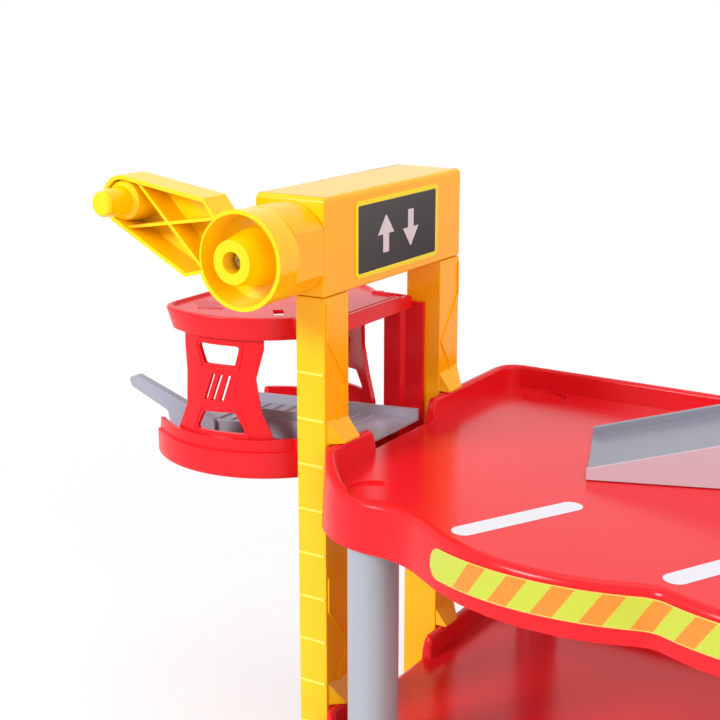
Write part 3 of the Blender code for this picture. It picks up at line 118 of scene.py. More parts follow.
class Signal:
    """A shader socket that can be used in Python expressions."""

    def __init__(self, tree: bpy.types.NodeTree, socket: bpy.types.NodeSocket) -> None:
        """Keeps the socket and the tree in which new nodes are made."""
        self.tree = tree
        self.socket = socket

    def _math(self, operation: str, *values: "Signal | float") -> "Signal":
        """Adds a Math node.

        Args:
            operation: the node's operation.
            values: its inputs, in order.

        Returns:
            The node's result.
        """
        node = self.tree.nodes.new("ShaderNodeMath")
        node.operation = operation
        for k, value in enumerate(values):
            if isinstance(value, Signal):
                self.tree.links.new(value.socket, node.inputs[k])
            else:
                node.inputs[k].default_value = value
        return Signal(self.tree, node.outputs[0])

    def __add__(self, other: "Signal | float") -> "Signal":
        """Adds."""
        return self._math("ADD", self, other)

    __radd__ = __add__

    def __sub__(self, other: "Signal | float") -> "Signal":
        """Subtracts."""
        return self._math("SUBTRACT", self, other)

    def __rsub__(self, other: "Signal | float") -> "Signal":
        """Subtracts from a number."""
        return self._math("SUBTRACT", other, self)

    def __mul__(self, other: "Signal | float") -> "Signal":
        """Multiplies."""
        return self._math("MULTIPLY", self, other)

    __rmul__ = __mul__

    def __mod__(self, other: "Signal | float") -> "Signal":
        """The remainder that is never negative."""
        return self._math("FLOORED_MODULO", self, other)

    def __lt__(self, other: "Signal | float") -> "Signal":
        """One where it is less, else zero."""
        return self._math("LESS_THAN", self, other)

    def __gt__(self, other: "Signal | float") -> "Signal":
        """One where it is more, else zero."""
        return self._math("GREATER_THAN", self, other)

    def at_least(self, other: "Signal | float") -> "Signal":
        """The larger of two values."""
        return self._math("MAXIMUM", self, other)


class Graph:
    """A tree of shader nodes."""

    def __init__(self, tree: bpy.types.NodeTree) -> None:
        """Keeps the tree."""
        self.tree = tree

    def node(self, kind: str, settings: dict | None = None, **inputs: object) -> bpy.types.Node:
        """Adds a node, sets it and fills its sockets.

        Args:
            kind: the node's type.
            settings: attributes that are set first.
            inputs: socket values or signals, by the socket's name with underscores for spaces.

        Returns:
            The node.
        """
        made = self.tree.nodes.new(kind)
        for key, value in (settings or {}).items():
            setattr(made, key, value)
        for key, value in inputs.items():
            self.fill(made.inputs[key.replace("_", " ")], value)
        return made

    def fill(self, socket: bpy.types.NodeSocket, value: object) -> None:
        """Links a signal to a socket, or sets the socket's own value.

        Args:
            socket: the input.
            value: a signal, a number or a colour with its alpha.
        """
        if isinstance(value, Signal):
            self.tree.links.new(value.socket, socket)
        else:
            socket.default_value = value

    def out(self, node: bpy.types.Node, name: str | int = 0) -> Signal:
        """The output of a node as a signal."""
        return Signal(self.tree, node.outputs[name])

    def blend(self, factor: Signal, first: Signal, second: Signal) -> Signal:
        """Mixes two shaders.

        Args:
            factor: 0 for the first, 1 for the second.
            first: a shader.
            second: a shader.

        Returns:
            The mixed shader.
        """
        node = self.node("ShaderNodeMixShader")
        for socket, value in zip(node.inputs, (factor, first, second)):
            self.fill(socket, value)
        return self.out(node)


class Shader(Graph):
    """One material and the nodes that feed its Principled shader."""

    def __init__(self, name: str) -> None:
        """Makes an empty Principled material."""
        self.material = bpy.data.materials.new(name)
        self.material.use_nodes = True
        super().__init__(self.material.node_tree)
        self.base = self.tree.nodes["Principled BSDF"]

    def object_place(self) -> Signal:
        """The object coordinates."""
        return self.out(self.node("ShaderNodeTexCoord"), "Object")

    def uv_axes(self, layer: str) -> tuple[Signal, Signal]:
        """The two axes of a piece's own UV map.

        Args:
            layer: the map's name.

        Returns:
            One signal an axis.
        """
        place = self.node("ShaderNodeUVMap", {"uv_map": layer})
        split = self.node("ShaderNodeSeparateXYZ", Vector=self.out(place, "UV"))
        return self.out(split, "X"), self.out(split, "Y")

    def noise(self, waves: float, detail: float, roughness: float = 0.5) -> Signal:
        """Noise over the object coordinates.

        Args:
            waves: waves a metre.
            detail: octaves.
            roughness: strength of the finer octaves.

        Returns:
            The noise, MEAN_NOISE on average.
        """
        texture = self.node(
            "ShaderNodeTexNoise",
            Vector=self.object_place(),
            Scale=waves,
            Detail=detail,
            Roughness=roughness,
        )
        return self.out(texture)

    def mix(self, factor: Signal, first: Signal | Triple, second: Signal | Triple) -> Signal:
        """Mixes two colours.

        Args:
            factor: 0 for the first, 1 for the second.
            first: a colour or a signal.
            second: a colour or a signal.

        Returns:
            The mixed colour.
        """
        node = self.node("ShaderNodeMix", {"data_type": "RGBA"}, Factor=factor)
        colour_inputs = [socket for socket in node.inputs if socket.type == "RGBA"]
        for socket, value in zip(colour_inputs, (first, second)):
            self.fill(socket, value if isinstance(value, Signal) else (*value, 1.0))
        result = next(socket for socket in node.outputs if socket.type == "RGBA")
        return Signal(self.tree, result)

    def feed(self, **links: Signal) -> None:
        """Links signals to sockets of the Principled shader, by name."""
        for key, value in links.items():
            self.fill(self.base.inputs[key.replace("_", " ")], value)

    def fix(self, **values: object) -> None:
        """Sets plain values on the Principled shader, by name."""
        for key, value in values.items():
            self.base.inputs[key.replace("_", " ")].default_value = value

    def bump(self, height: Signal, depth: float) -> None:
        """Feeds a Bump node to the shader's Normal.

        Args:
            height: the relief, from 0 to 1.
            depth: depth of the relief in millimetres.
        """
        node = self.node("ShaderNodeBump", Height=height, Strength=1.0, Distance=depth * MM)
        self.feed(Normal=self.out(node, "Normal"))


# Finishes


@dataclass(frozen=True)
class MouldedPlastic:
    """Glossy injection-moulded plastic with a faint flow mottle and fine handling marks."""

    name: str
    colour: Triple
    deep: Triple
    gloss: float = 0.24
    glow: float = 0.06
    shine: float = 0.35
    flow_waves: float = 14.0
    mark_waves: float = 900.0
    mottle_start: float = 0.35
    mottle: float = 1.6
    mark_gloss: float = 0.10
    flow_gloss: float = 0.06
    grain: float = 0.02
    light_reach: Triple = (0.004, 0.0015, 0.0008)

    def make(self) -> bpy.types.Material:
        """Builds the material.

        Returns:
            The material.
        """
        shader = Shader(self.name)
        flow = shader.noise(self.flow_waves, detail=2.0)
        marks = shader.noise(self.mark_waves, detail=3.0, roughness=0.6)
        mottled = (flow - self.mottle_start) * self.mottle
        shader.feed(Base_Color=shader.mix(mottled, self.colour, self.deep))
        dulled = (marks - MEAN_NOISE) * self.mark_gloss + (flow - MEAN_NOISE) * self.flow_gloss
        shader.feed(Roughness=dulled + self.gloss)
        shader.bump(marks * 0.5 + flow * 0.5, self.grain)
        shader.fix(
            Subsurface_Weight=self.glow,
            Subsurface_Radius=self.light_reach,
            Specular_IOR_Level=self.shine,
            IOR=1.5,
        )
        return shader.material


@dataclass(frozen=True)
class Steel:
    """Zinc-plated steel with turned marks."""

    name: str = "zinc_plated_steel"
    colour: Triple = (0.58, 0.59, 0.60)
    shade: float = 0.8
    gloss: float = 0.18
    cloud_waves: float = 160.0
    cloud_gloss: float = 0.25
    mark_waves: float = 2400.0
    grain: float = 0.01

    def make(self) -> bpy.types.Material:
        """Builds the material.

        Returns:
            The material.
        """
        shader = Shader(self.name)
        cloud = shader.noise(self.cloud_waves, detail=4.0)
        dark = tuple(self.shade * value for value in self.colour)
        shader.feed(Base_Color=shader.mix(cloud, self.colour, dark))
        shader.feed(Roughness=cloud * self.cloud_gloss + self.gloss)
        shader.bump(shader.noise(self.mark_waves, detail=2.0), self.grain)
        shader.fix(Metallic=1.0)
        return shader.material


@dataclass(frozen=True)
class HazardPrint:
    """A vinyl sticker printed with slanted lime and orange stripes inside a narrow yellow border.

    Its UV map is in millimetres, along the sticker and up from its lower edge.
    """

    height: float
    layer: str
    name: str = "hazard_sticker_print"
    lime: Triple = (0.47, 0.55, 0.03)
    orange: Triple = (0.74, 0.22, 0.008)
    border: Triple = (0.75, 0.52, 0.10)
    lime_width: float = 9.8
    orange_width: float = 8.65
    first_orange: float = 15.7
    slant: float = 0.68
    edge: float = 0.45
    gloss: float = 0.22
    speckle_waves: float = 1500.0
    speckle_white: float = 0.05
    speckle_gloss: float = 0.12
    ripple_waves: float = 300.0
    grain: float = 0.02
    coat: float = 0.15
    coat_gloss: float = 0.1

    def make(self) -> bpy.types.Material:
        """Builds the material.

        Returns:
            The material.
        """
        shader = Shader(self.name)
        along, up = shader.uv_axes(self.layer)
        pitch = self.lime_width + self.orange_width
        past = along - up * self.slant - self.first_orange
        stripe = (past % pitch < self.orange_width) * (past > 0.0)
        stripes = shader.mix(stripe, self.lime, self.orange)
        inside = (up > self.edge) * (up < self.height - self.edge)
        printed = shader.mix(inside, self.border, stripes)
        speckle = shader.noise(self.speckle_waves, detail=2.0)
        flecked = (speckle - MEAN_NOISE) * self.speckle_white
        shader.feed(Base_Color=shader.mix(flecked, printed, PLAIN_WHITE))
        shader.feed(Roughness=speckle * self.speckle_gloss + self.gloss)
        shader.bump(shader.noise(self.ripple_waves, detail=2.0), self.grain)
        shader.fix(Coat_Weight=self.coat, Coat_Roughness=self.coat_gloss)
        return shader.material


@dataclass(frozen=True)
class PrintedVinyl:
    """Plain sticker vinyl of one colour with a faint fleck."""

    name: str
    colour: Triple
    gloss: float = 0.3
    shine: float = 0.3
    shade: float = 0.93
    fleck_waves: float = 700.0
    fleck_gloss: float = 0.14
    ripple_waves: float = 220.0
    grain: float = 0.015

    def make(self) -> bpy.types.Material:
        """Builds the material.

        Returns:
            The material.
        """
        shader = Shader(self.name)
        fleck = shader.noise(self.fleck_waves, detail=4.0)
        dark = tuple(self.shade * value for value in self.colour)
        shader.feed(Base_Color=shader.mix(fleck, self.colour, dark))
        shader.feed(Roughness=(fleck - MEAN_NOISE) * self.fleck_gloss + self.gloss)
        shader.bump(shader.noise(self.ripple_waves, detail=2.0), self.grain)
        shader.fix(Specular_IOR_Level=self.shine)
        return shader.material


Finish = MouldedPlastic | Steel | HazardPrint | PrintedVinyl


@dataclass
class Finishes:
    """All the finishes, made once."""

    made: dict[str, bpy.types.Material] = field(default_factory=dict)

    def get(self, finish: Finish) -> bpy.types.Material:
        """The material of a finish, made on its first use.

        Args:
            finish: one of the finishes.

        Returns:
            Its material.
        """
        if finish.name not in self.made:
            self.made[finish.name] = finish.make()
        return self.made[finish.name]


RED = MouldedPlastic(
    "red_gloss", (0.74, 0.011, 0.018), (0.68, 0.008, 0.014), gloss=0.22, glow=0.05, shine=0.25
)
YELLOW = MouldedPlastic("yellow_gloss", (1.0, 0.53, 0.002), (0.98, 0.47, 0.001), gloss=0.22, glow=0.10)
CRANK_YELLOW = MouldedPlastic(
    "yellow_gloss_crank", (1.0, 0.63, 0.002), (0.98, 0.56, 0.001), gloss=0.20, glow=0.12
)
# Lighter yellow for the posts' raised course ridges: a painted highlight, where their edges would catch
# the lamps.
RIDGE_PAINTED_HIGHLIGHT = MouldedPlastic(
    "yellow_painted_ridge_highlight", (1.0, 0.72, 0.09), (1.0, 0.68, 0.07), gloss=0.22, glow=0.2
)
FROST = MouldedPlastic(
    "tray_frosted_grey", (0.36, 0.37, 0.45), (0.31, 0.32, 0.40), gloss=0.34, glow=0.15
)
GREY = MouldedPlastic(
    "blue_grey_satin", (0.23, 0.245, 0.30), (0.20, 0.215, 0.27), gloss=0.30, glow=0.03
)
# Lighter pinkish grey for the ramp's near outer wall: painted light, standing in for red light bounced
# from the deck onto the lit wall.
RAMP_PAINTED_BOUNCE = MouldedPlastic(
    "blue_grey_painted_bounce_light", (0.50, 0.44, 0.50), (0.46, 0.40, 0.46), gloss=0.30, glow=0.08
)
COLUMN = MouldedPlastic("column_grey", (0.34, 0.39, 0.44), (0.31, 0.36, 0.41), gloss=0.34, glow=0.03)
INNER = MouldedPlastic("inner_grey", (0.35, 0.37, 0.40), (0.30, 0.32, 0.35), gloss=0.4, glow=0.02)
STEEL = Steel()
CHARCOAL = PrintedVinyl("charcoal_sign", (0.022, 0.016, 0.017), gloss=0.34)
SIGN_EDGE = PrintedVinyl("sign_yellow_edge", (0.92, 0.86, 0.0))
WHITE = PrintedVinyl("white_print", (0.70, 0.72, 0.80))


# Modelling helpers


def only(piece: bpy.types.Object) -> None:
    """Makes one object the active and only selected one.

    Args:
        piece: the object.
    """
    if bpy.context.object and bpy.context.object.mode != "OBJECT":
        bpy.ops.object.mode_set(mode="OBJECT")
    bpy.ops.object.select_all(action="DESELECT")
    bpy.context.view_layer.objects.active = piece
    piece.select_set(True)


def name_new(name: str) -> bpy.types.Object:
    """Names the primitive that was just added and applies its place.

    Args:
        name: its name.

    Returns:
        The primitive's object.
    """
    piece = bpy.context.object
    piece.name = name
    piece.data.name = name
    bpy.ops.object.transform_apply(location=True, rotation=True, scale=True)
    return piece


def clear_selection(piece: bpy.types.Object, element: Element) -> None:
    """Leaves no part of a mesh selected.

    Args:
        piece: the mesh object.
        element: the kind of part that edit mode then selects.
    """
    only(piece)
    bpy.ops.object.mode_set(mode="EDIT")
    bpy.ops.mesh.select_mode(type=element.value)
    bpy.ops.mesh.select_all(action="DESELECT")
    bpy.ops.object.mode_set(mode="OBJECT")


def edit_faces(piece: bpy.types.Object, wanted: Callable[[bpy.types.MeshPolygon], bool]) -> None:
    """Enters edit mode with only the wanted faces selected.

    Args:
        piece: the mesh object.
        wanted: says of each face whether it is selected.
    """
    clear_selection(piece, Element.FACE)
    for face in piece.data.polygons:
        face.select = wanted(face)
    bpy.ops.object.mode_set(mode="EDIT")


def edit_edges(piece: bpy.types.Object, wanted: Callable[[Vector, Vector], bool]) -> None:
    """Enters edit mode with only the wanted edges selected.

    Args:
        piece: the mesh object.
        wanted: says of each edge's two ends whether the edge is selected.
    """
    clear_selection(piece, Element.EDGE)
    points = piece.data.vertices
    for edge in piece.data.edges:
        edge.select = wanted(points[edge.vertices[0]].co, points[edge.vertices[1]].co)
    bpy.ops.object.mode_set(mode="EDIT")


def leave_edit() -> None:
    """Returns to object mode."""
    bpy.ops.object.mode_set(mode="OBJECT")


def apply_modifiers(piece: bpy.types.Object) -> None:
    """Applies every modifier of a piece, in order.

    Args:
        piece: the piece.
    """
    only(piece)
    for modifier in list(piece.modifiers):
        bpy.ops.object.modifier_apply(modifier=modifier.name)


def smooth(piece: bpy.types.Object, angle: float = 35.0) -> None:
    """Shades a piece smooth up to an angle in degrees."""
    only(piece)
    bpy.ops.object.shade_smooth_by_angle(angle=math.radians(angle))


def even_normals(piece: bpy.types.Object) -> None:
    """Keeps the shading of flat faces flat beside their rounded edges.

    Args:
        piece: the piece, already shaded smooth.
    """
    only(piece)
    weighted = piece.modifiers.new("even_normals", "WEIGHTED_NORMAL")
    weighted.keep_sharp = True
    weighted.weight = 50
    apply_modifiers(piece)


def move_mesh(piece: bpy.types.Object, place: Matrix) -> None:
    """Moves the mesh of a piece, so that its object stays at the origin."""
    piece.data.transform(place)
    piece.data.update()


def points_up(face: bpy.types.MeshPolygon) -> bool:
    """Whether a face looks up."""
    return face.normal.z > FACING


def points_back(face: bpy.types.MeshPolygon) -> bool:
    """Whether a face looks towards +Y."""
    return face.normal.y > FACING


def thin_plate(
    name: str, length: float, width: float, thickness: float, corner: float
) -> bpy.types.Object:
    """Models a flat plate with round corners. It lies on the XY plane, in millimetres.

    Args:
        name: the piece's name.
        length: its size along X.
        width: its size along Y.
        thickness: its size along Z.
        corner: radius of its corners.

    Returns:
        The plate, with its middle over the origin.
    """
    bpy.ops.object.select_all(action="DESELECT")
    bpy.ops.mesh.primitive_cube_add(size=1.0, location=(0.0, 0.0, thickness / 2 * MM))
    bpy.context.object.scale = (length * MM, width * MM, thickness * MM)
    piece = name_new(name)
    edit_edges(piece, lambda start, end: abs(start.z - end.z) > thickness / 2 * MM)
    bpy.ops.mesh.bevel(offset=corner * MM, segments=CORNER_STEPS, profile=0.5, affect="EDGES")
    leave_edit()
    return piece


def dress(
    piece: bpy.types.Object, body: Body, slot: Slot, *materials: bpy.types.Material
) -> None:
    """Gives a piece its materials and its body, and reports it.

    Args:
        piece: the finished piece.
        body: the body it rides on.
        slot: the record's slot; not used.
        materials: its materials, in the order of its faces' indices.
    """
    places = [face.material_index for face in piece.data.polygons]
    piece.data.materials.clear()
    for material in materials:
        piece.data.materials.append(material)
    for face, place in zip(piece.data.polygons, places):
        face.material_index = min(place, len(materials) - 1)
    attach(piece, body.value)
    LOG.info("%s rides on %s", piece.name, body.value)


# Mouldings


@dataclass
class MouldedPiece:
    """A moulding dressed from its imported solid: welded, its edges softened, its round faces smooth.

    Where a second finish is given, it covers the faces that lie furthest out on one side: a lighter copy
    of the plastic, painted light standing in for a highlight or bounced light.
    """

    node: str
    finish: Finish
    body: Body
    slot: Slot
    edge: float = 0.35
    crease: float = 28.0
    # A second finish is painted light: a lighter colour on the outermost faces of one side.
    second: Finish | None = None
    side: Triple = (0.0, -1.0, 0.0)
    side_depth: float = 0.42
    flat_angle: float = 0.6
    smooth_angle: float = 40.0

    def copy(self) -> bpy.types.Object:
        """Copies the node's mesh, and merges its loose triangles into flat faces.

        Returns:
            The copy.
        """
        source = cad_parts[self.node]
        piece = bpy.data.objects.new(f"{self.node}_moulding", source.data.copy())
        bpy.context.scene.collection.objects.link(piece)
        only(piece)
        bpy.ops.object.mode_set(mode="EDIT")
        bpy.ops.mesh.select_all(action="SELECT")
        bpy.ops.mesh.remove_doubles(threshold=WELD_GAP * MM)
        bpy.ops.mesh.dissolve_limited(angle_limit=math.radians(self.flat_angle))
        leave_edit()
        return piece

    def soften(self, piece: bpy.types.Object) -> None:
        """Rounds the sharp edges a little.

        Args:
            piece: the moulding.
        """
        bevel = piece.modifiers.new("soft_edges", "BEVEL")
        bevel.width = self.edge * MM
        bevel.segments = 2
        bevel.limit_method = "ANGLE"
        bevel.angle_limit = math.radians(self.crease)
        bevel.use_clamp_overlap = True
        bevel.harden_normals = False
        apply_modifiers(piece)

    def mark_painted_light_faces(self, piece: bpy.types.Object) -> None:
        """Marks the faces that lie furthest out on the side for the second finish, the painted light.

        Args:
            piece: the moulding.
        """
        side = Vector(self.side)
        limit = max(vert.co.dot(side) for vert in piece.data.vertices) - self.side_depth * MM
        for face in piece.data.polygons:
            face.material_index = int(face.center.dot(side) > limit)

    def build(self, finishes: Finishes) -> None:
        """Builds and dresses the moulding in place of its node.

        Args:
            finishes: the shared finishes.
        """
        piece = self.copy()
        if self.edge:
            self.soften(piece)
        smooth(piece, self.smooth_angle)
        even_normals(piece)
        materials = [finishes.get(self.finish)]
        # The second finish paints light onto the outermost faces of one side.
        if self.second:
            materials.append(finishes.get(self.second))
            self.mark_painted_light_faces(piece)
        dress(piece, self.body, self.slot, *materials)
        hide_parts(self.node)


def mouldings() -> list[MouldedPiece]:
    """The mouldings of the garage with their finishes.

    Returns:
        One entry a node.
    """
    turn = math.radians(RAMP_TURN)
    ramp_side = (math.sin(turn), -math.cos(turn), 0.0)
    red = (Body.GARAGE, Slot.RED)
    yellow = (Body.GARAGE, Slot.YELLOW)
    grey = (Body.GARAGE, Slot.GREY)
    cage = (Body.CAGE, Slot.RED)
    pieces = [
        MouldedPiece("base_tray", RED, *red, edge=0.3, crease=50.0),
        MouldedPiece("upper_deck", RED, *red, edge=0.3, crease=50.0),
        MouldedPiece("raised_pad", RED, *red, edge=0.0),
        # The front post's outermost faces, its course ridges, get the lighter yellow as a painted
        # highlight.
        MouldedPiece("front_post", YELLOW, *yellow, second=RIDGE_PAINTED_HIGHLIGHT),
        MouldedPiece("rear_post", YELLOW, *yellow),
        MouldedPiece("gantry_beam", YELLOW, *yellow, edge=0.4),
        MouldedPiece("beam_cover", YELLOW, *yellow),
        MouldedPiece("crank_bearing", YELLOW, *yellow, edge=0.4),
        MouldedPiece("crank_handle", CRANK_YELLOW, Body.CRANK, Slot.YELLOW),
        MouldedPiece("crank_screw", STEEL, Body.CRANK, Slot.STEEL, edge=0.15),
        MouldedPiece("crank_shaft", INNER, Body.CRANK, Slot.COLUMN, edge=0.3),
        MouldedPiece("winding_spool", INNER, Body.CRANK, Slot.COLUMN, edge=0.3),
        MouldedPiece("tray_pivot_pin", STEEL, Body.CAGE, Slot.STEEL, edge=0.2),
        MouldedPiece("lift_tray", FROST, Body.TRAY, Slot.GREY, edge=0.2),
        # The ramp's outermost faces on its near side get the lighter pinkish grey as painted bounce
        # light.
        MouldedPiece("upper_ramp", GREY, *grey, second=RAMP_PAINTED_BOUNCE, side=ramp_side),
        MouldedPiece("entry_ramp", GREY, *grey),
    ]
    for node in ("cage_base", "cage_roof", "cage_panel_front", "cage_panel_rear"):
        pieces.append(MouldedPiece(node, RED, *cage, edge=0.3, crease=40.0))
    for node in ("cage_guide_front", "cage_guide_rear"):
        pieces.append(MouldedPiece(node, RED, *cage))
    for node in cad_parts:
        if node.startswith(("column_", "pad_column_")):
            pieces.append(MouldedPiece(node, COLUMN, Body.GARAGE, Slot.COLUMN, edge=0.3))
    return pieces


# Stickers and fine trim


@dataclass
class LiftSign:
    """The sign on the gantry beam: a charcoal panel in a yellow border, with a plain pair of arrows.

    Its places are measured along Y and Z.
    """

    origin: Origin
    near: float = -36.0
    far: float = 37.2
    low: float = UPPER_FLOOR + 81.0
    high: float = UPPER_FLOOR + 115.8
    border: float = 2.1
    corner: float = 3.0
    thickness: float = 0.35
    sink: float = 0.12
    arrow_height: float = 17.0
    arrow_width: float = 13.0
    arrow_apart: float = 22.0
    stem_width: float = 5.0
    stem_corner: float = 0.4
    stem_share: float = 0.5
    shoulder: float = 0.01
    tip_share: float = 0.06

    def upright(self) -> Matrix:
        """The turn and move that stand a plate from the XY plane on the beam's face.

        Returns:
            The matrix.
        """
        middle = self.origin.point(0.0, (self.near + self.far) / 2, (self.low + self.high) / 2)
        turn = Matrix(((0, 0, 1, 0), (1, 0, 0, 0), (0, 1, 0, 0), (0, 0, 0, 1)))
        return Matrix.Translation(middle + Vector((STICKER_GAP * MM, 0.0, 0.0))) @ turn

    def panel(self, finishes: Finishes) -> None:
        """Models the panel with its raised border.

        Args:
            finishes: the shared finishes.
        """
        length = self.far - self.near
        width = self.high - self.low
        piece = thin_plate("lift_sign_panel", length, width, self.thickness, self.corner)
        edit_faces(piece, points_up)
        bpy.ops.mesh.inset(thickness=self.border * MM, depth=0.0)
        bpy.ops.mesh.inset(thickness=self.sink * MM, depth=-self.sink * MM)
        leave_edit()
        for face in piece.data.polygons:
            face.material_index = int(face.select)
        bevel = piece.modifiers.new("soft_rim", "BEVEL")
        bevel.width = 0.5 * self.sink * MM
        bevel.segments = 2
        bevel.limit_method = "ANGLE"
        apply_modifiers(piece)
        smooth(piece)
        move_mesh(piece, self.upright())
        dress(piece, Body.GARAGE, Slot.YELLOW, finishes.get(SIGN_EDGE), finishes.get(CHARCOAL))

    def arrow(self, name: str, shift: float, turn: float, finishes: Finishes) -> None:
        """Models one arrow: a stem whose end is drawn out to a head.

        Args:
            name: the piece's name.
            shift: its place along the panel.
            turn: degrees that it is turned on the panel.
            finishes: the shared finishes.
        """
        stem = self.arrow_height * self.stem_share
        piece = thin_plate(name, self.stem_width, stem, self.sink, self.stem_corner)
        top = stem / 2 * MM
        edit_faces(piece, points_back)
        bpy.ops.mesh.extrude_region_move(
            TRANSFORM_OT_translate={"value": (0.0, self.shoulder * MM, 0.0)}
        )
        spread = self.arrow_width / (self.stem_width - 2 * self.stem_corner)
        bpy.ops.transform.resize(value=(spread, 1.0, 1.0), center_override=(0.0, top, 0.0))
        head = (self.arrow_height - stem) * MM
        bpy.ops.mesh.extrude_region_move(TRANSFORM_OT_translate={"value": (0.0, head, 0.0)})
        bpy.ops.transform.resize(
            value=(self.tip_share, 1.0, 1.0), center_override=(0.0, top + head, 0.0)
        )
        leave_edit()
        move_mesh(piece, Matrix.Translation((0.0, -head / 2, 0.0)))
        move_mesh(piece, Matrix.Rotation(math.radians(turn), 4, "Z"))
        lift = self.thickness - self.sink
        move_mesh(piece, Matrix.Translation((shift * MM, 0.0, lift * MM)))
        move_mesh(piece, self.upright())
        smooth(piece)
        dress(piece, Body.GARAGE, Slot.YELLOW, finishes.get(WHITE))

    def build(self, finishes: Finishes) -> None:
        """Builds the sign.

        Args:
            finishes: the shared finishes.
        """
        self.panel(finishes)
        self.arrow("lift_sign_arrow_up", -self.arrow_apart / 2, 0.0, finishes)
        self.arrow("lift_sign_arrow_down", self.arrow_apart / 2, 180.0, finishes)


@dataclass
class RoofTrim:
    """The fine trim of the cage's roof: two gratings, and a raised band beside the gantry.

    A grating's first and last ribs start at the places named first and across, and the first rib
    ends at the place named along.
    """

    origin: Origin
    recess_floor: float = UPPER_FLOOR + 58.8
    roof_top: float = UPPER_FLOOR + 60.0
    first: tuple[float, float] = (-98.9, -26.4)
    across: tuple[float, float] = (-88.1, -22.2)
    along: tuple[float, float] = (-86.1, -39.3)
    ribs: int = 10
    rib_width: float = 0.55
    rib_height: float = 0.6
    rib_corner: float = 0.2
    foot: float = 0.2
    band_middle: float = -16.2
    band_width: float = 5.6
    band_reach: float = 28.5
    band_rise: float = 0.06
    band_round: float = 0.4
    rib_shift: float = 1.6
    rib_rise: float = 0.3

    def grating(self, name: str, mirrored: bool, finishes: Finishes) -> None:
        """Models one grating as a rib and its array.

        Args:
            name: the piece's name.
            mirrored: whether it is the front grating's mirror image at the back.
            finishes: the shared finishes.
        """
        run = Vector(self.along) - Vector(self.first)
        step = (Vector(self.across) - Vector(self.first)) / (self.ribs - 1)
        piece = thin_plate(name, run.length, self.rib_width, self.rib_height, self.rib_corner)
        move_mesh(piece, Matrix.Rotation(math.atan2(run.y, run.x), 4, "Z"))
        array = piece.modifiers.new("ribs", "ARRAY")
        array.count = self.ribs
        array.use_relative_offset = False
        array.use_constant_offset = True
        array.constant_offset_displace = (step.x * MM, step.y * MM, 0.0)
        apply_modifiers(piece)
        middle = Vector(self.first) + run / 2
        place = self.origin.point(middle.x, middle.y, self.recess_floor - self.foot)
        move_mesh(piece, Matrix.Translation(place))
        if mirrored:
            move_mesh(piece, self.mirror())
            piece.data.flip_normals()
        smooth(piece)
        dress(piece, Body.CAGE, Slot.RED, finishes.get(RED))

    def mirror(self) -> Matrix:
        """The mirror image across the middle plane of the gantry.

        Returns:
            The matrix.
        """
        middle = Vector((0.0, self.origin.foot.y, 0.0))
        flip = Matrix.Scale(-1.0, 4, (0.0, 1.0, 0.0))
        return Matrix.Translation(middle) @ flip @ Matrix.Translation(-middle)

    def band(self, finishes: Finishes) -> None:
        """Models the raised band and the two ribs along it.

        Args:
            finishes: the shared finishes.
        """
        rise = self.roof_top + self.band_rise - self.recess_floor + self.foot
        for name, shift, width, height in (
            ("cage_roof_band", 0.0, self.band_width, rise),
            ("cage_roof_band_rib_left", -self.rib_shift, self.rib_width, rise + self.rib_rise),
            ("cage_roof_band_rib_right", self.rib_shift, self.rib_width, rise + self.rib_rise),
        ):
            piece = thin_plate(name, width, 2 * self.band_reach, height, self.band_round * width)
            place = self.origin.point(self.band_middle + shift, 0.0, self.recess_floor - self.foot)
            move_mesh(piece, Matrix.Translation(place))
            smooth(piece)
            dress(piece, Body.CAGE, Slot.RED, finishes.get(RED))

    def build(self, finishes: Finishes) -> None:
        """Builds the trim.

        Args:
            finishes: the shared finishes.
        """
        self.grating("cage_roof_grating_front", False, finishes)
        self.grating("cage_roof_grating_rear", True, finishes)
        self.band(finishes)


@dataclass
class BayLine:
    """One white line between two parking bays, printed on the upper deck's floor."""

    origin: Origin
    number: int
    foot: tuple[float, float] = (84.2, -96.4)
    head: tuple[float, float] = (113.0, -40.5)
    pitch: float = 87.0
    width: float = 10.2
    round_share: float = 0.48
    thickness: float = 0.12

    def build(self, finishes: Finishes) -> None:
        """Models the line as a thin plate with round ends.

        Args:
            finishes: the shared finishes.
        """
        run = Vector(self.head) - Vector(self.foot)
        corner = self.round_share * self.width
        piece = thin_plate(f"bay_line_{self.number}", run.length, self.width, self.thickness, corner)
        middle = (Vector(self.head) + Vector(self.foot)) / 2
        along = middle.x + self.pitch * (self.number - 1)
        place = self.origin.point(along, middle.y, UPPER_FLOOR + STICKER_GAP)
        turn = Matrix.Rotation(math.atan2(run.y, run.x), 4, "Z")
        move_mesh(piece, Matrix.Translation(place) @ turn)
        smooth(piece)
        dress(piece, Body.GARAGE, Slot.RED, finishes.get(WHITE))


def arc(
    middle: Vector, radius: float, first: float, last: float, steps: int
) -> list[tuple[Vector, Vector]]:
    """Points along an arc of a circle, in even steps.

    Args:
        middle: the circle's middle.
        radius: its radius.
        first: angle of the first point in radians.
        last: angle of the last point in radians.
        steps: steps from the first to the last.

    Returns:
        Each point with its direction from the middle.
    """
    points = []
    for k in range(steps + 1):
        angle = first + (last - first) * k / steps
        out = Vector((math.cos(angle), math.sin(angle)))
        points.append((middle + out * radius, out))
    return points


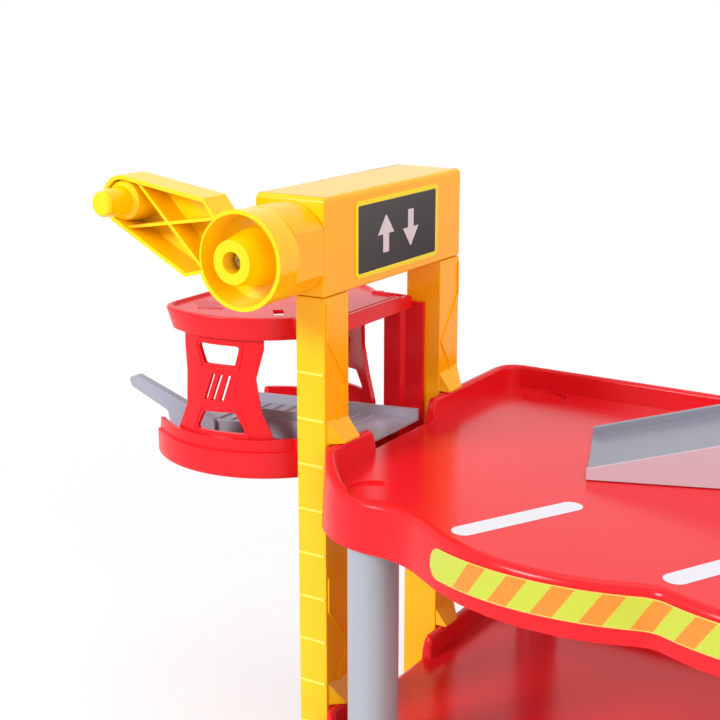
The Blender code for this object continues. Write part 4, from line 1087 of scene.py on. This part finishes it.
@dataclass
class HazardTape:
    """The striped tape along the upper deck's scalloped front.

    The front has two round bays with a valley between them, and its right half mirrors the left one.
    The tape's top edge is measured from the upper floor, and sags a little away from the crest.
    """

    origin: Origin
    bay_radius: float = 94.5
    bay_reach: float = -113.5
    bay_width: float = 87.0
    middle: float = 170.0
    valley_radius: float = 12.0
    valley_steps: int = 4
    draft: float = 0.05
    start: float = 76.0
    crest: float = 140.0
    high: float = -3.5
    sag: float = 2.0
    sag_reach: float = 62.0
    height: float = 12.9
    end_round: float = 6.1
    thickness: float = 0.15
    gap: float = 0.10
    step: float = 2.0
    smooth_angle: float = 50.0
    layer: str = "tape"

    def path(self) -> list[tuple[Vector, Vector]]:
        """Points along the front from the start to its mirror image.

        Returns:
            Each point with its outward normal.
        """
        bay = Vector((self.middle - self.bay_width / 2, self.bay_reach + self.bay_radius))
        apart = self.bay_radius + self.valley_radius
        valley = Vector((self.middle, bay.y - math.sqrt(apart**2 - (self.bay_width / 2) ** 2)))
        inset = self.start - bay.x
        first = math.atan2(-math.sqrt(self.bay_radius**2 - inset**2), inset)
        last = math.atan2(valley.y - bay.y, valley.x - bay.x)
        steps = round((last - first) * self.bay_radius / self.step)
        half = arc(bay, self.bay_radius, first, last, steps)
        hollow = arc(valley, self.valley_radius, last + math.pi, math.pi / 2, self.valley_steps)
        half += [(point, -inward) for point, inward in hollow[1:]]
        mirrored = [
            (Vector((2 * self.middle - point.x, point.y)), Vector((-out.x, out.y)))
            for point, out in reversed(half[:-1])
        ]
        return half + mirrored

    def build(self, finishes: Finishes) -> None:
        """Models the tape flat, cuts it across, maps it in millimetres and lays it on the skirt.

        Args:
            finishes: the shared finishes.
        """
        path = self.path()
        runs = [0.0]
        for (before, _), (after, _) in zip(path, path[1:]):
            runs.append(runs[-1] + (after - before).length)
        length = runs[-1]
        piece = thin_plate("hazard_tape", length, self.height, self.thickness, self.end_round)
        only(piece)
        bpy.ops.object.mode_set(mode="EDIT")
        for run in runs[1:-1]:
            bpy.ops.mesh.select_all(action="SELECT")
            cut = ((run - length / 2) * MM, 0.0, 0.0)
            bpy.ops.mesh.bisect(plane_co=cut, plane_no=(1.0, 0.0, 0.0))
        leave_edit()
        move_mesh(piece, Matrix.Translation((length / 2 * MM, self.height / 2 * MM, 0.0)))
        layer = piece.data.uv_layers.get(self.layer) or piece.data.uv_layers.new(name=self.layer)
        for loop in piece.data.loops:
            point = piece.data.vertices[loop.vertex_index].co
            layer.data[loop.index].uv = (point.x / MM, point.y / MM)
        for vert in piece.data.vertices:
            vert.co = self.on_skirt(path, runs, vert.co / MM)
        piece.data.update()
        smooth(piece, self.smooth_angle)
        printed = finishes.get(HazardPrint(self.height, self.layer))
        dress(piece, Body.GARAGE, Slot.RED, printed)

    def on_skirt(
        self, path: list[tuple[Vector, Vector]], runs: list[float], flat: Vector
    ) -> Vector:
        """Places a point of the flat tape on the deck's skirt.

        Args:
            path: the front's points and normals.
            runs: the distance along the front of each point.
            flat: the point's distance along the tape, over its lower edge and over its back.

        Returns:
            The point of the frame.
        """
        rounding = 1e-6
        after = next((k for k in range(1, len(runs)) if runs[k] >= flat.x - rounding), len(runs) - 1)
        share = (flat.x - runs[after - 1]) / (runs[after] - runs[after - 1])
        place = path[after - 1][0].lerp(path[after][0], share)
        out = path[after - 1][1].lerp(path[after][1], share).normalized()
        left_half = self.middle - abs(place.x - self.middle)
        top = self.high - self.sag * ((left_half - self.crest) / self.sag_reach) ** 2
        z = top - self.height + flat.y
        place = place + out * (self.gap - self.draft * z + flat.z)
        return self.origin.point(place.x, place.y, UPPER_FLOOR + z)


# Studio


@dataclass(frozen=True)
class Lamp:
    """A soft square lamp. Its places and its side are metres in the frame, its power is watts."""

    name: str
    at: Triple
    aim: Triple
    side: float
    power: float
    colour: Triple = PLAIN_WHITE

    def build(self) -> None:
        """Adds the lamp to the scene."""
        data = bpy.data.lights.new(self.name, "AREA")
        data.shape = "SQUARE"
        data.size = self.side
        data.energy = self.power
        data.color = self.colour
        made = bpy.data.objects.new(self.name, data)
        made.location = self.at
        look = Vector(self.aim) - Vector(self.at)
        made.rotation_euler = look.to_track_quat("-Z", "Y").to_euler()
        bpy.context.scene.collection.objects.link(made)


@dataclass
class Studio:
    """Plain pale floor, soft lamps and the camera at the photograph's viewpoint.

    The camera stands at a place in millimetres, and the floor and the lamps are given in metres.
    """

    origin: Origin
    stand: Triple = (330.0, -552.0, 356.5)
    lens: float = 70.6
    sensor: float = 36.0
    sight: float = 20.0
    pitch: float = 14.8
    turn: float = 32.4
    floor_side: float = 30.0
    floor_drop: float = 0.0002
    floor_near: float = 0.32
    floor_far: float = 0.75
    floor_colour: Triple = (0.86, 0.86, 0.87)
    floor_gloss: float = 0.8
    floor_white: float = 0.6
    world_light: float = 0.6
    lamps: tuple[Lamp, ...] = (
        Lamp("key", at=(-0.9, -1.7, 1.1), aim=(0.0, 0.0, 0.15), side=0.6, power=33.0),
        Lamp("top", at=(0.0, 0.1, 1.9), aim=(0.0, 0.0, 0.1), side=1.4, power=8.0),
        Lamp(
            "fill",
            at=(1.6, -0.8, 0.9),
            aim=(0.0, 0.0, 0.15),
            side=1.4,
            power=18.0,
            colour=(1.0, 0.66, 0.52),
        ),
    )

    def camera(self) -> None:
        """Creates the camera."""
        data = bpy.data.cameras.new("view")
        data.lens = self.lens
        data.sensor_width = self.sensor
        data.clip_end = self.sight
        camera = bpy.data.objects.new("view", data)
        camera.location = self.origin.point(*self.stand)
        camera.rotation_euler = (math.radians(90 - self.pitch), 0.0, math.radians(self.turn))
        bpy.context.scene.collection.objects.link(camera)
        bpy.context.scene.camera = camera

    def world(self) -> None:
        """Lights the world evenly and shows it white to the camera and in reflections."""
        world = bpy.data.worlds.new("studio")
        bpy.context.scene.world = world
        world.use_nodes = True
        graph = Graph(world.node_tree)
        graph.tree.nodes.clear()
        path = graph.node("ShaderNodeLightPath")
        seen = graph.out(path, "Is Camera Ray")
        for name in ("Is Glossy Ray", "Is Transmission Ray"):
            seen = seen.at_least(graph.out(path, name))
        white = (*PLAIN_WHITE, 1.0)
        soft = graph.node("ShaderNodeBackground", Color=white, Strength=self.world_light)
        bright = graph.node("ShaderNodeBackground", Color=white, Strength=1.0)
        both = graph.blend(seen, graph.out(soft), graph.out(bright))
        graph.node("ShaderNodeOutputWorld", Surface=both)

    def floor(self) -> None:
        """Lays the pale floor, which fades into the white background away from the garage."""
        bpy.ops.object.select_all(action="DESELECT")
        low = (0.0, 0.0, -self.floor_drop)
        bpy.ops.mesh.primitive_plane_add(size=self.floor_side, location=low)
        made = name_new("floor")
        shader = Shader("pale_floor")
        shader.fix(Base_Color=(*self.floor_colour, 1.0), Roughness=self.floor_gloss)
        path = shader.node("ShaderNodeLightPath")
        glow = shader.node("ShaderNodeEmission", Color=(*PLAIN_WHITE, 1.0), Strength=1.0)
        seen = shader.out(path, "Is Camera Ray") * self.floor_white
        pale = shader.blend(seen, shader.out(shader.base), shader.out(glow))
        away = shader.node("ShaderNodeVectorMath", {"operation": "LENGTH"}, Vector=shader.object_place())
        fade = shader.node(
            "ShaderNodeMapRange",
            {"interpolation_type": "SMOOTHSTEP"},
            Value=shader.out(away, "Value"),
            From_Min=self.floor_near,
            From_Max=self.floor_far,
        )
        clear = shader.node("ShaderNodeBsdfTransparent")
        faded = shader.blend(shader.out(fade), pale, shader.out(clear))
        shader.fill(shader.tree.nodes["Material Output"].inputs["Surface"], faded)
        made.data.materials.append(shader.material)

    def build(self) -> None:
        """Builds the whole studio."""
        self.camera()
        for lamp in self.lamps:
            lamp.build()
        self.world()
        self.floor()
        bpy.context.scene.view_settings.view_transform = "Standard"


def main() -> None:
    """Builds the studio and then every piece."""
    logging.basicConfig(level=logging.INFO)
    origin = Origin()
    Studio(origin).build()
    finishes = Finishes()
    for moulding in mouldings():
        moulding.build(finishes)
    LiftSign(origin).build(finishes)
    RoofTrim(origin).build(finishes)
    for number in (1, 2, 3):
        BayLine(origin, number).build(finishes)
    HazardTape(origin).build(finishes)


if __name__ == "__main__":
    main()
